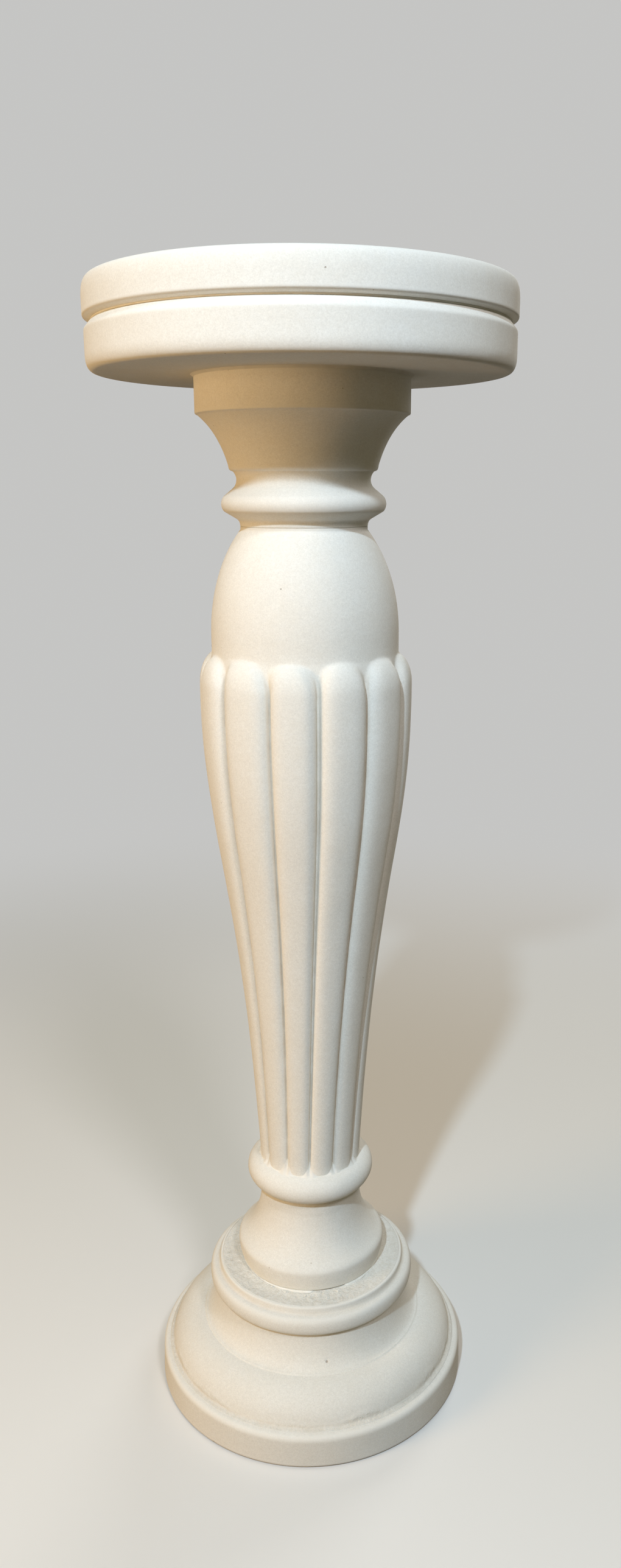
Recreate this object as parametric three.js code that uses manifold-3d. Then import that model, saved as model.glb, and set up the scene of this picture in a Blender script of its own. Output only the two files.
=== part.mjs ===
// A round-topped pedestal column of cast plaster, one metre high.
//
// Six castings stand on one another: base, foot, reeded shaft, capital and two table slabs.
// Each joint has a thin bed of mortar, and a short centring sleeve let into both castings. One
// threaded tie rod runs up the core, from a pocket under the base to a pocket in the lower slab,
// and draws the stack together between two plate washers. The upper slab is glued over the top
// pocket, and the base stands on four felt pads.
//
// Millimetres, +Z up. The origin is on the floor, on the column's axis, and the front is -Y.

import * as THREE from 'three';
import { mergeVertices } from 'three/addons/utils/BufferGeometryUtils.js';
import Module from 'manifold-3d';

const wasm = await Module();
wasm.setup();

// ---- Core, joints and rod ----

const CORE_R = 20; // bore that the castings are poured around
const SOCKET_SHOULDER = 4; // step from the core out to a sleeve's socket
const SOCKET_DEPTH = 12; // in the base, foot, shaft and capital
const SLAB_SOCKET_DEPTH = 6; // in the lower slab's underside
const SLEEVE_WALL = 2.5;
const SLEEVE_FIT = 0.3; // around a sleeve, in its socket
const SLEEVE_END_GAP = 1; // between a sleeve's upper end and its socket's end
const MORTAR_T = 1.2; // every bed's thickness
const MORTAR_SET_BACK = 0.5; // a bed's edge lies this far inside the castings' edge
const MORTAR_CLEAR = 2; // between a hole's edge and the bed around it
const ROD_R = 6;
const ROD_HOLE_GAP = 1; // around the rod, where it passes through the base and the slab
const ROD_PROUD_TOP = 1.5; // rod above the upper nut
const ROD_TOP_ROOM = 1; // between the rod and the upper slab's adhesive
const ROD_PROUD_FOOT = 8; // rod below the lock nut
const WASHER_LAP = 6; // the plate washers reach this far past a socket's edge
const WASHER_T = 4;
const WASHER_FIT = 0.5; // around the rod
const NUT_WALL = 3; // from the thread out to a flat
const NUT_SIDES = 6;
const NUT_T = 10;
const LOCK_NUT_T = 6;
const NUT_FIT = 0.3; // around the rod

// ---- Floor pads ----

const PAD_COUNT = 4;
const PAD_R = 14;
const PAD_T = 4;
const PAD_SINK = 3; // depth of a pad's seat in the underside
const PAD_FIT = 0.4; // around a pad, in its seat
const PAD_INSET = 32; // from the base's edge to a pad's centre

// ---- Foot: skirt, neck and torus ----

const FOOT_NECK_R = 47.6;
const SKIRT_SPREAD = 22.7; // from the neck out to the skirt's edge
const SKIRT_TUCK = 3.3; // from that edge in to the skirt's foot
const SKIRT_BAND_H = 18;
const SKIRT_EDGE = 2.6; // rounding of the skirt's edge
const SKIRT_FLARE_H = 44.4;
const SKIRT_FLARE_HOLD = 28; // height over which the hollow flare keeps close to the neck
const NECK_TO_TORUS_H = 28.6; // from the flare's top up to the centre of the torus's section
const TORUS_R = 13.2; // of its section
const TORUS_INSET = 0.9; // from the neck's line in to that centre

// ---- Base, from the step under the foot outwards and down ----

const STEP_W = 22.2;
const STEP_H = 6.6;
const STEP_EDGE = 2.2;
const LIP_REACH = 9.4; // from the step's side out to the lip
const LIP_H = 18.2;
const LIP_ROOT = 2.6; // width of the small cove between the step and the lip
const THROAT_DEPTH = 7.1; // from the lip in to the hollow under it
const SCOTIA_H = 33.5;
const RIDGE_REACH = 6.9; // from the lip out to the ridge
const RIDGE_STEP = 0.9; // the small drop outside the ridge
const OVOLO_W = 31;
const OVOLO_H = 28.5;
const LEDGE_W = 4.1;
const LEDGE_FALL = 1.5;
const BASE_EDGE = 6;
const BASE_BAND_H = 24.5;
const BASE_BAND_LEAN = 0.9; // the band is this much wider at the floor
const WEB_T = 25; // over the base's pocket
const POCKET_ROOM = 15; // around the lower plate washer

// ---- Shaft: reeds, shoulder and dome ----

const REED_COUNT = 12;
const REED_TURN = 4; // degrees from the front, towards +X, to the nearest groove
const REED_FOOT_REACH = 1.2; // from the torus's centre line out to a crest at the shaft's foot
const REED_FOOT_DEPTH = 4.3; // from crest to groove, at the foot
const REED_STAND = 11.8; // from the dome's foot out to the widest crest
const REED_BELLY_DEPTH = 9; // from crest to groove, at the widest
const REED_H = 453; // from the shaft's foot to the widest crest
const REED_FOOT_PULL_R = 14.8; // the crest line's curve leaves the foot along this handle
const REED_FOOT_PULL_H = 289;
const REED_BELLY_PULL_R = 0.8; // and comes to the widest crest along this one
const REED_BELLY_PULL_H = 143;
const REED_GROOVE = 0.06; // flat bottom of a groove, as part of half a reed's pitch
const REED_FULLNESS = 2.6; // 2 is a plain round, and more is fuller with steeper sides
const SHOULDER_H = 27; // of a reed's rounded top
const SHOULDER_DROP = 9; // from the shoulder's top down to the corner that its curve rounds
const DOME_R = 80.1;
const DOME_FOOT_H = 15; // upright stretch under the dome
const DOME_H = 86.1;
const SHAFT_NECK_H = 1.4;

// ---- Capital: neck, ring, cove, lip, flare and block ----

const NECK_R = 53.4; // shared by the dome's top and the capital's foot
const NECK_H = 6.1;
const NECK_SPREAD = 2.8;
const RING_SPREAD = 10.6; // from the neck's spread out to the ring's two edges
const RING_UNDER_H = 6.2;
const RING_NOSE = 4; // how far the curve of the ring's round nose is drawn out
const RING_NOSE_H = 11.8;
const RING_OVER_H = 7.4;
const RING_OVER_W = 8.8;
const COVE_PULL = 4.6; // how far in the curve of the cove is drawn
const COVE_H = 12.8;
const LIP_START_W = 0.6;
const CAPITAL_LIP_W = 3.6;
const CAPITAL_LIP_H = 4.2;
const FLARE_W = 24.5;
const FLARE_H = 40;
const FLARE_PULL_W = 7.7; // the flare's curve turns about a corner this far out
const FLARE_PULL_H = 26.8; // and this far up
const BLOCK_EDGE = 1.6;
const BLOCK_H = 27.9;

// ---- Table: two slabs with a groove between them ----

const UPPER_SLAB_R = 172.8;
const UPPER_SLAB_T = 30;
const UPPER_EDGE_W = 6;
const UPPER_EDGE_H = 16;
const SLAB_STEP = 0.8; // the lower slab is this much smaller in radius
const LOWER_SLAB_T = 36.9;
const LOWER_EDGE_W = 7;
const LOWER_EDGE_H = 12;
const GROOVE_DEPTH = 6;
const UPPER_BEVEL_H = 2.2; // the groove's bevel on the upper slab
const LOWER_BEVEL_H = 6.4; // and on the lower slab

// ---- How finely round shapes are cut ----

const SIDES = 40; // of a casting
const SMALL_SIDES = 24; // of a hole, sleeve, rod, washer or pad
const SIDES_PER_REED = 8;
const FACET_DEPTH = 0.25; // a curve's facets stay this close to it
const HOLE_OVERRUN = 1; // a hole is cut this far past the face that it opens
const SAME_POINT = 1e-4; // points this close together are one

// ---- Values worked out from those above ----

const socketR = CORE_R + SOCKET_SHOULDER;
const rodHoleR = ROD_R + ROD_HOLE_GAP;
const washerR = socketR + WASHER_LAP;
const basePocketR = washerR + POCKET_ROOM;
const topPocketR = washerR + MORTAR_CLEAR;
const topPocketDepth = WASHER_T + NUT_T + ROD_PROUD_TOP + ROD_TOP_ROOM;

const skirtR = FOOT_NECK_R + SKIRT_SPREAD;
const skirtFootR = skirtR - SKIRT_TUCK;
const torusCentreR = FOOT_NECK_R - TORUS_INSET;
const torusCentreH = SKIRT_BAND_H + SKIRT_EDGE + SKIRT_FLARE_H + NECK_TO_TORUS_H;
const footH = torusCentreH + TORUS_R;

const stepR = skirtFootR + STEP_W;
const lipR = stepR + LIP_REACH;
const throatR = lipR - THROAT_DEPTH;
const ridgeR = lipR + RIDGE_REACH;
const ovoloR = ridgeR + OVOLO_W;
const bandTopR = ovoloR + LEDGE_W + BASE_EDGE;
const baseR = bandTopR + BASE_BAND_LEAN;
const baseH = BASE_BAND_H + BASE_EDGE + LEDGE_FALL + OVOLO_H + SCOTIA_H + LIP_H + STEP_H;

const reedFootR = torusCentreR + REED_FOOT_REACH;
const bellyR = DOME_R + REED_STAND;
const shoulderTop = REED_H + SHOULDER_H;
const domeStart = shoulderTop + DOME_FOOT_H;
const domeCut = Math.acos(NECK_R / DOME_R); // part of the half oval's turn that the dome takes
const shaftH = domeStart + DOME_H + SHAFT_NECK_H;

const ringR = NECK_R + NECK_SPREAD + RING_SPREAD;
const coveR = ringR - RING_OVER_W;
const lipStartR = coveR + LIP_START_W;
const capitalLipR = lipStartR + CAPITAL_LIP_W;
const flareTopR = capitalLipR + FLARE_W;
const blockR = flareTopR + BLOCK_EDGE;
const ringH = RING_UNDER_H + RING_NOSE_H + RING_OVER_H;
const capitalH = NECK_H + ringH + COVE_H + CAPITAL_LIP_H + FLARE_H + BLOCK_EDGE + BLOCK_H;

const lowerSlabR = UPPER_SLAB_R - SLAB_STEP;
const grooveR = UPPER_SLAB_R - GROOVE_DEPTH;

// The height above the floor at which each casting starts, with a bed of mortar under it.
const baseZ = PAD_T - PAD_SINK;
const footZ = baseZ + baseH + MORTAR_T;
const shaftZ = footZ + footH + MORTAR_T;
const capitalZ = shaftZ + shaftH + MORTAR_T;
const lowerSlabZ = capitalZ + capitalH + MORTAR_T;
const upperSlabZ = lowerSlabZ + LOWER_SLAB_T + MORTAR_T;

// ---- Materials ----

const plaster = new THREE.MeshStandardMaterial({ color: 0xece6da, roughness: 0.85, metalness: 0 });
const mortar = new THREE.MeshStandardMaterial({ color: 0xd9d1c2, roughness: 0.95, metalness: 0 });
const zincSteel = new THREE.MeshStandardMaterial({ color: 0xa9adb0, roughness: 0.4, metalness: 0.9 });
const greyPlastic = new THREE.MeshStandardMaterial({ color: 0x8b9094, roughness: 0.6, metalness: 0 });
const felt = new THREE.MeshStandardMaterial({ color: 0x6a6560, roughness: 1, metalness: 0 });

// ---- Ways of making a piece ----

/** How many straight facets stand in for a curve, from its length and how far it turns. */
function facetCount(curve) {
  const [start, middle, end] = [0, 0.5, 1].map((t) => curve.getTangent(t));
  const turn = start.angleTo(middle) + middle.angleTo(end);
  return Math.max(1, Math.ceil(Math.sqrt((curve.getLength() * turn) / (8 * FACET_DEPTH))));
}

/** A body turned about Z from an outline of (radius, height) that starts and ends on the axis. */
function turned(outline, sides = SIDES, firstAngle = 0) {
  const points = outline.curves.flatMap((curve) => curve.getPoints(facetCount(curve)));
  const repeats = (point, i) => i > 0 && point.distanceTo(points[i - 1]) < SAME_POINT;
  const distinct = points.filter((point, i) => !repeats(point, i));
  return new THREE.LatheGeometry(distinct, sides, firstAngle).rotateX(Math.PI / 2);
}

/** A plain round bar that stands on its end at height 0. */
function bar(radius, height) {
  const geometry = new THREE.CylinderGeometry(radius, radius, height, SMALL_SIDES);
  return geometry.rotateX(Math.PI / 2).translate(0, 0, height / 2);
}

/** A plain tube that stands on its end at height 0. */
function tube(innerR, outerR, height, sides = SMALL_SIDES) {
  const outline = new THREE.Path();
  outline.moveTo(innerR, 0);
  outline.lineTo(outerR, 0);
  outline.lineTo(outerR, height);
  outline.lineTo(innerR, height);
  outline.lineTo(innerR, 0);
  return turned(outline, sides);
}

/** A hexagon nut that stands on its face at height 0. */
function nut(height) {
  const cornerR = (ROD_R + NUT_WALL) / Math.cos(Math.PI / NUT_SIDES);
  const corners = Array.from({ length: NUT_SIDES }, (_, i) => {
    const angle = (i * 2 * Math.PI) / NUT_SIDES;
    return new THREE.Vector2(cornerR * Math.cos(angle), cornerR * Math.sin(angle));
  });
  const shape = new THREE.Shape(corners);
  shape.holes.push(new THREE.Path().absarc(0, 0, ROD_R + NUT_FIT, 0, 2 * Math.PI, true));
  const settings = { depth: height, bevelEnabled: false, curveSegments: SMALL_SIDES / 2 };
  return new THREE.ExtrudeGeometry(shape, settings);
}

/** The same body as a solid that can be cut. */
function toSolid(geometry) {
  const bare = geometry.clone();
  bare.deleteAttribute('normal');
  bare.deleteAttribute('uv');
  const merged = mergeVertices(bare, SAME_POINT);
  return new wasm.Manifold(new wasm.Mesh({
    numProp: 3,
    vertProperties: new Float32Array(merged.attributes.position.array),
    triVerts: new Uint32Array(merged.index.array),
  }));
}

/** A round hole to be cut, upright between two heights. */
function hole(radius, bottom, top, x = 0, y = 0) {
  return toSolid(bar(radius, top - bottom).translate(x, y, bottom));
}

/** The body with holes cut in it. */
function cut(geometry, holes) {
  const solid = holes.reduce((body, next) => body.subtract(next), toSolid(geometry));
  const mesh = solid.getMesh();
  const result = new THREE.BufferGeometry();
  result.setAttribute('position', new THREE.BufferAttribute(mesh.vertProperties, 3));
  result.setIndex(new THREE.BufferAttribute(mesh.triVerts, 1));
  result.computeVertexNormals();
  return result;
}

/** The core through a casting, with a sleeve's socket at each end. */
function coreHoles(height) {
  const past = height + HOLE_OVERRUN;
  return [
    hole(CORE_R, -HOLE_OVERRUN, past),
    hole(socketR, -HOLE_OVERRUN, SOCKET_DEPTH),
    hole(socketR, height - SOCKET_DEPTH, past),
  ];
}

const stand = new THREE.Group();

/** Adds one named piece to the stand, with its own origin at the given place. */
function place(name, geometry, material, z, x = 0, y = 0) {
  const mesh = new THREE.Mesh(geometry, material.clone());
  mesh.name = name;
  mesh.position.set(x, y, z);
  stand.add(mesh);
}

// ---- Castings ----

/** Where the floor pads sit, as x and y. */
function padPlaces() {
  const padRingR = baseR - PAD_INSET;
  return Array.from({ length: PAD_COUNT }, (_, i) => {
    const angle = ((i + 0.5) * 2 * Math.PI) / PAD_COUNT;
    return [padRingR * Math.cos(angle), padRingR * Math.sin(angle)];
  });
}

/** Band, ledge, ovolo, ridge, scotia, lip and step, with the rod's pocket underneath. */
function base() {
  const outline = new THREE.Path();
  let z = BASE_BAND_H;
  outline.moveTo(0, 0);
  outline.lineTo(baseR, 0);
  outline.lineTo(bandTopR, z);
  z += BASE_EDGE;
  outline.quadraticCurveTo(bandTopR, z, bandTopR - BASE_EDGE, z);
  z += LEDGE_FALL;
  outline.lineTo(ovoloR, z);
  const ovoloTop = z + OVOLO_H - RIDGE_STEP;
  const ovoloMiddleR = ridgeR + OVOLO_W / 2;
  outline.bezierCurveTo(ovoloR, z + OVOLO_H / 2, ovoloMiddleR, ovoloTop, ridgeR, ovoloTop);
  z += OVOLO_H;
  outline.lineTo(ridgeR - RIDGE_STEP, z);
  const scotiaMiddleR = (ridgeR - RIDGE_STEP + throatR) / 2;
  outline.bezierCurveTo(scotiaMiddleR, z, throatR, z + SCOTIA_H / 2, throatR, z + SCOTIA_H);
  z += SCOTIA_H;
  outline.quadraticCurveTo(lipR, z, lipR, z + LIP_H / 2);
  z += LIP_H;
  outline.quadraticCurveTo(lipR, z, stepR + LIP_ROOT, z);
  outline.quadraticCurveTo(stepR, z, stepR, z + STEP_H - STEP_EDGE);
  outline.quadraticCurveTo(stepR, baseH, stepR - STEP_EDGE, baseH);
  outline.lineTo(0, baseH);
  return cut(turned(outline), [
    hole(basePocketR, -HOLE_OVERRUN, baseH - WEB_T),
    hole(socketR, baseH - SOCKET_DEPTH, baseH + HOLE_OVERRUN),
    hole(rodHoleR, 0, baseH),
    ...padPlaces().map(([x, y]) => hole(PAD_R + PAD_FIT, -HOLE_OVERRUN, PAD_SINK, x, y)),
  ]);
}

/** Skirt with its hollow flare, neck, and the torus that the shaft stands on. */
function foot() {
  const outline = new THREE.Path();
  let z = SKIRT_BAND_H;
  outline.moveTo(0, 0);
  outline.lineTo(skirtFootR, 0);
  outline.quadraticCurveTo(skirtR, z / 2, skirtR, z);
  z += SKIRT_EDGE;
  outline.quadraticCurveTo(skirtR, z, skirtR - SKIRT_EDGE, z + SKIRT_EDGE);
  z += SKIRT_FLARE_H;
  outline.quadraticCurveTo(FOOT_NECK_R + SKIRT_EDGE, z - SKIRT_FLARE_HOLD, FOOT_NECK_R, z);
  const startAngle = -Math.acos(TORUS_INSET / TORUS_R);
  outline.absarc(torusCentreR, torusCentreH, TORUS_R, startAngle, Math.PI / 2, false);
  outline.lineTo(0, footH);
  return cut(turned(outline), coreHoles(footH));
}

/** Radius of the reeded surface, where share runs from 0 on a crest to 1 in a groove. */
function reededR(crestR, height, share) {
  const climb = Math.min(1, height / REED_H);
  const depth = THREE.MathUtils.lerp(REED_FOOT_DEPTH, REED_BELLY_DEPTH, climb);
  const round = THREE.MathUtils.clamp((height - REED_H) / SHOULDER_H, 0, 1);
  const bellyGrooveR = THREE.MathUtils.lerp(bellyR - depth, DOME_R, round);
  const grooveR = round > 0 ? bellyGrooveR : crestR - depth;
  const halfWidth = (1 - REED_GROOVE) * Math.sqrt(1 - round ** 2);
  const part = share < halfWidth ? share / halfWidth : 1;
  return grooveR + (crestR - grooveR) * Math.sqrt(1 - part ** REED_FULLNESS);
}

/** Reeds with rounded shoulders, and the plain dome that rises out of them. */
function shaft() {
  const outline = new THREE.Path();
  outline.moveTo(0, 0);
  outline.lineTo(reedFootR, 0);
  outline.bezierCurveTo(
    reedFootR + REED_FOOT_PULL_R,
    REED_FOOT_PULL_H,
    bellyR + REED_BELLY_PULL_R,
    REED_H - REED_BELLY_PULL_H,
    bellyR,
    REED_H,
  );
  outline.quadraticCurveTo(bellyR, shoulderTop - SHOULDER_DROP, DOME_R, shoulderTop);
  const ovalH = DOME_H / Math.sin(domeCut);
  outline.lineTo(DOME_R, domeStart);
  outline.absellipse(0, domeStart, DOME_R, ovalH, 0, domeCut, false, 0);
  outline.lineTo(NECK_R, shaftH);
  outline.lineTo(0, shaftH);

  const firstAngle = THREE.MathUtils.degToRad(REED_TURN);
  const geometry = turned(outline, REED_COUNT * SIDES_PER_REED, firstAngle);
  const position = geometry.attributes.position;
  for (let i = 0; i < position.count; i += 1) {
    const [x, y, z] = [position.getX(i), position.getY(i), position.getZ(i)];
    const crestR = Math.hypot(x, y);
    if (crestR > 0 && z <= shoulderTop) {
      const pitches = ((Math.atan2(x, -y) - firstAngle) * REED_COUNT) / (2 * Math.PI);
      const share = 2 * Math.abs(pitches - Math.floor(pitches) - 0.5);
      const scale = reededR(crestR, z, share) / crestR;
      position.setXYZ(i, x * scale, y * scale, z);
    }
  }
  return cut(geometry, coreHoles(shaftH));
}

/** Neck, ring, cove, small lip, hollow flare and the plain round block. */
function capital() {
  const outline = new THREE.Path();
  let z = NECK_H;
  outline.moveTo(0, 0);
  outline.lineTo(NECK_R, 0);
  outline.quadraticCurveTo(NECK_R, z - NECK_SPREAD / 2, NECK_R + NECK_SPREAD, z);
  z += RING_UNDER_H;
  outline.lineTo(ringR, z);
  outline.quadraticCurveTo(ringR + RING_NOSE, z + RING_NOSE_H / 2, ringR, z + RING_NOSE_H);
  z += RING_NOSE_H + RING_OVER_H;
  outline.lineTo(coveR, z);
  outline.quadraticCurveTo(coveR - COVE_PULL, z + COVE_H / 2, lipStartR, z + COVE_H);
  z += COVE_H + CAPITAL_LIP_H;
  outline.quadraticCurveTo(capitalLipR, z - CAPITAL_LIP_H, capitalLipR, z);
  outline.quadraticCurveTo(capitalLipR + FLARE_PULL_W, z + FLARE_PULL_H, flareTopR, z + FLARE_H);
  z += FLARE_H;
  outline.quadraticCurveTo(blockR, z, blockR, z + BLOCK_EDGE);
  outline.lineTo(blockR, capitalH);
  outline.lineTo(0, capitalH);
  return cut(turned(outline), coreHoles(capitalH));
}

/** Lower slab, with a sleeve's socket below and the rod's upper pocket above. */
function lowerSlab() {
  const outline = new THREE.Path();
  outline.moveTo(0, 0);
  outline.lineTo(lowerSlabR - LOWER_EDGE_W, 0);
  outline.quadraticCurveTo(lowerSlabR, 0, lowerSlabR, LOWER_EDGE_H);
  outline.lineTo(lowerSlabR, LOWER_SLAB_T - LOWER_BEVEL_H);
  outline.lineTo(grooveR, LOWER_SLAB_T);
  outline.lineTo(0, LOWER_SLAB_T);
  return cut(turned(outline), [
    hole(socketR, -HOLE_OVERRUN, SLAB_SOCKET_DEPTH),
    hole(topPocketR, LOWER_SLAB_T - topPocketDepth, LOWER_SLAB_T + HOLE_OVERRUN),
    hole(rodHoleR, 0, LOWER_SLAB_T),
  ]);
}

/** Upper slab: a solid disc with a round upper edge. */
function upperSlab() {
  const outline = new THREE.Path();
  const edgeR = UPPER_SLAB_R - UPPER_EDGE_W;
  outline.moveTo(0, 0);
  outline.lineTo(grooveR, 0);
  outline.lineTo(UPPER_SLAB_R, UPPER_BEVEL_H);
  outline.lineTo(UPPER_SLAB_R, UPPER_SLAB_T - UPPER_EDGE_H);
  outline.quadraticCurveTo(UPPER_SLAB_R, UPPER_SLAB_T, edgeR, UPPER_SLAB_T);
  outline.lineTo(0, UPPER_SLAB_T);
  return turned(outline);
}

place('base', base(), plaster, baseZ);
place('foot', foot(), plaster, footZ);
place('shaft', shaft(), plaster, shaftZ);
place('capital', capital(), plaster, capitalZ);
place('lower_slab', lowerSlab(), plaster, lowerSlabZ);
place('upper_slab', upperSlab(), plaster, upperSlabZ);

// ---- Beds of mortar, each under its casting ----

/** Adds a bed whose edge is set back from the castings' edge, around a hole. */
function placeBed(name, edgeR, holeR, castingZ) {
  const geometry = tube(holeR + MORTAR_CLEAR, edgeR - MORTAR_SET_BACK, MORTAR_T, SIDES);
  place(name, geometry, mortar, castingZ - MORTAR_T);
}

placeBed('foot_mortar', skirtFootR, socketR, footZ);
placeBed('shaft_mortar', torusCentreR, socketR, shaftZ);
placeBed('capital_mortar', NECK_R, socketR, capitalZ);
placeBed('slab_mortar', blockR, socketR, lowerSlabZ);
placeBed('top_adhesive', grooveR, topPocketR, upperSlabZ);

// ---- Centring sleeves, each on its lower socket's floor ----

/** Adds a sleeve that reaches from one casting's socket through the bed into the next one's. */
function placeSleeve(name, castingZ, upperDepth) {
  const outerR = socketR - SLEEVE_FIT;
  const length = SOCKET_DEPTH + MORTAR_T + upperDepth - SLEEVE_END_GAP;
  const geometry = tube(outerR - SLEEVE_WALL, outerR, length);
  place(name, geometry, greyPlastic, castingZ - MORTAR_T - SOCKET_DEPTH);
}

placeSleeve('foot_sleeve', footZ, SOCKET_DEPTH);
placeSleeve('shaft_sleeve', shaftZ, SOCKET_DEPTH);
placeSleeve('capital_sleeve', capitalZ, SOCKET_DEPTH);
placeSleeve('slab_sleeve', lowerSlabZ, SLAB_SOCKET_DEPTH);

// ---- Tie rod with its washers and nuts ----

const lowerWasherZ = baseZ + baseH - WEB_T - WASHER_T;
const lowerNutZ = lowerWasherZ - NUT_T;
const lockNutZ = lowerNutZ - LOCK_NUT_T;
const upperWasherZ = lowerSlabZ + LOWER_SLAB_T - topPocketDepth;
const upperNutZ = upperWasherZ + WASHER_T;
const rodBottomZ = lockNutZ - ROD_PROUD_FOOT;
const rodTopZ = upperNutZ + NUT_T + ROD_PROUD_TOP;
const plateWasher = tube(ROD_R + WASHER_FIT, washerR, WASHER_T);

place('tie_rod', bar(ROD_R, rodTopZ - rodBottomZ), zincSteel, rodBottomZ);
place('lower_washer', plateWasher, zincSteel, lowerWasherZ);
place('lower_nut', nut(NUT_T), zincSteel, lowerNutZ);
place('lock_nut', nut(LOCK_NUT_T), zincSteel, lockNutZ);
place('upper_washer', plateWasher.clone(), zincSteel, upperWasherZ);
place('upper_nut', nut(NUT_T), zincSteel, upperNutZ);

// ---- Felt pads in their seats ----

padPlaces().forEach(([x, y], i) => place(`floor_pad_${i + 1}`, bar(PAD_R, PAD_T), felt, 0, x, y));

export default stand;
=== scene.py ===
"""A round-topped pedestal column of cast plaster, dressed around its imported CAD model.

Each casting of the CAD model is turned again here, finely, with soft arrises, small unevenness
and carved reeds, and stands for its CAD node. The beds between the castings become the fillets
of filler that show at the joints. The tie rod, its washers and nuts and the felt pads are
remade with the detail that shows from below, and the sleeves keep their CAD shape.

Sizes are in millimetres and become metres through MM. Heights within a piece start at its foot,
and each foot's height above the floor comes from the CAD node that the piece replaces. Angles
around the column are in degrees, from the front towards +X.
"""

from __future__ import annotations

import logging
import math
from dataclasses import dataclass, field
from enum import Enum
from typing import Callable, Iterable, Sequence

import bmesh
import bpy
from mathutils import Matrix, Vector, noise
from mathutils.geometry import interpolate_bezier

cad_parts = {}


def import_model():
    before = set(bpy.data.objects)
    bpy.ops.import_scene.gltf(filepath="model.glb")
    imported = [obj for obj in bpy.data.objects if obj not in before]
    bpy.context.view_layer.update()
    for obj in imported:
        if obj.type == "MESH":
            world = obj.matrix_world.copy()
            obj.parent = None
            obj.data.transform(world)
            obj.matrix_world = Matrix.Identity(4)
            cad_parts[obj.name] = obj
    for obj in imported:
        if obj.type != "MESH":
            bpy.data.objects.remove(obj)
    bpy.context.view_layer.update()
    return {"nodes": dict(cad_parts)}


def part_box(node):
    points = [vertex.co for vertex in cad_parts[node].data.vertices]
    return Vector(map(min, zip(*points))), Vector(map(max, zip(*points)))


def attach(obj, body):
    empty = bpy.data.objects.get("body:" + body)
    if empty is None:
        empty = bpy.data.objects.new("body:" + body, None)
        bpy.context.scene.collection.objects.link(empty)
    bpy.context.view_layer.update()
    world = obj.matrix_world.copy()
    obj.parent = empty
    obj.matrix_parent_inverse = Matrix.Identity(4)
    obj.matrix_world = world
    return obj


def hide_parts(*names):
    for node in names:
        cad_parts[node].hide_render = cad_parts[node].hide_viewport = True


MM = 0.001
BODY = "root"

SAME_PLACE = 0.004  # millimetres
RIPPLE_RADIUS = 70.0  # millimetres
HARD_CORNER = math.radians(50)
FULL_BEND = 0.9  # radians
FEWEST_STEPS = 6

BEND = "bend"
GRIT = "grit"
WORKED = "worked"

log = logging.getLogger("pedestal")

Pair = tuple[float, float]
Colour = tuple[float, float, float]
Socket = bpy.types.NodeSocket


class Slot(Enum):
    """The record's material slots."""

    PLASTER = "plaster"
    MORTAR = "mortar"
    SLEEVE = "sleeve_plastic"
    ZINC = "zinc_steel"
    FELT = "felt"


class Surface(Enum):
    """How a stretch of an outline was left: the spacing of its rows, its grit, and whether it shows."""

    SANDED = (1.3, 0.0, 1.0)
    CRISP = (0.9, 0.02, 1.0)
    REEDED = (4.6, 0.01, 1.0)
    DOMED = (2.4, 0.0, 1.0)
    FLAT = (6.0, 0.0, 1.0)
    ROUGH = (1.1, 1.0, 1.0)
    JOINT = (9.0, 0.3, 0.0)
    INSIDE = (14.0, 0.6, 0.0)

    @property
    def spacing(self) -> float:
        """Distance between rows of the mesh, in millimetres."""
        return self.value[0]

    @property
    def grit(self) -> float:
        """Share of coarse grit, from 0 to 1."""
        return self.value[1]

    @property
    def worked(self) -> float:
        """1 where the surface shows and may be uneven, and 0 where it stays exact."""
        return self.value[2]


# ---- Small sums ----


def clamp(value: float, low: float = 0.0, high: float = 1.0) -> float:
    """Keeps a value between two limits.

    Args:
        value: the value.
        low: the lower limit.
        high: the upper limit.

    Returns:
        The value, or the limit that it passed.
    """
    return max(low, min(high, value))


def mix(start: float, end: float, share: float) -> float:
    """The value that lies a share of the way from start to end."""
    return start + (end - start) * share


def ease(value: float, low: float, high: float) -> float:
    """Rises smoothly from 0 to 1 as value goes from low to high.

    Args:
        value: the value.
        low: where the rise starts.
        high: where it ends, which may be the smaller of the two.

    Returns:
        The share risen.
    """
    share = clamp((value - low) / (high - low))
    return share * share * (3 - 2 * share)


def ripple(angle: float, height: float, length: float, seed: float) -> float:
    """Smooth chance that closes on itself around the column.

    Args:
        angle: angle around the column, in degrees.
        height: height, in millimetres.
        length: size of the unevenness, in millimetres.
        seed: a number that sets one pattern apart from another.

    Returns:
        A value from about -1 to 1.
    """
    turn = math.radians(angle)
    around = RIPPLE_RADIUS / length
    return noise.noise((around * math.sin(turn), around * math.cos(turn) + seed, height / length))


def chance(key: float) -> float:
    """A number from 0 to 1 that depends on the key alone."""
    return noise.cell((key * 7.31 + 0.5, 3.7, 11.3))


@dataclass(frozen=True)
class Wave:
    """Unevenness of one size: how deep and how long it is, in millimetres, and its own seed."""

    depth: float
    length: float
    seed: float

    def at(self, angle: float, height: float) -> float:
        """How far it stands out at an angle and a height, in millimetres."""
        return self.depth * ripple(angle, height, self.length, self.seed)


Waves = tuple[Wave, ...]


# ---- Outlines and turning ----


@dataclass
class RimPoint:
    """One point of an outline: where it is, how it was left, and how sharply it bends."""

    radius: float
    height: float
    surface: Surface
    bend: float = 0.0


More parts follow.
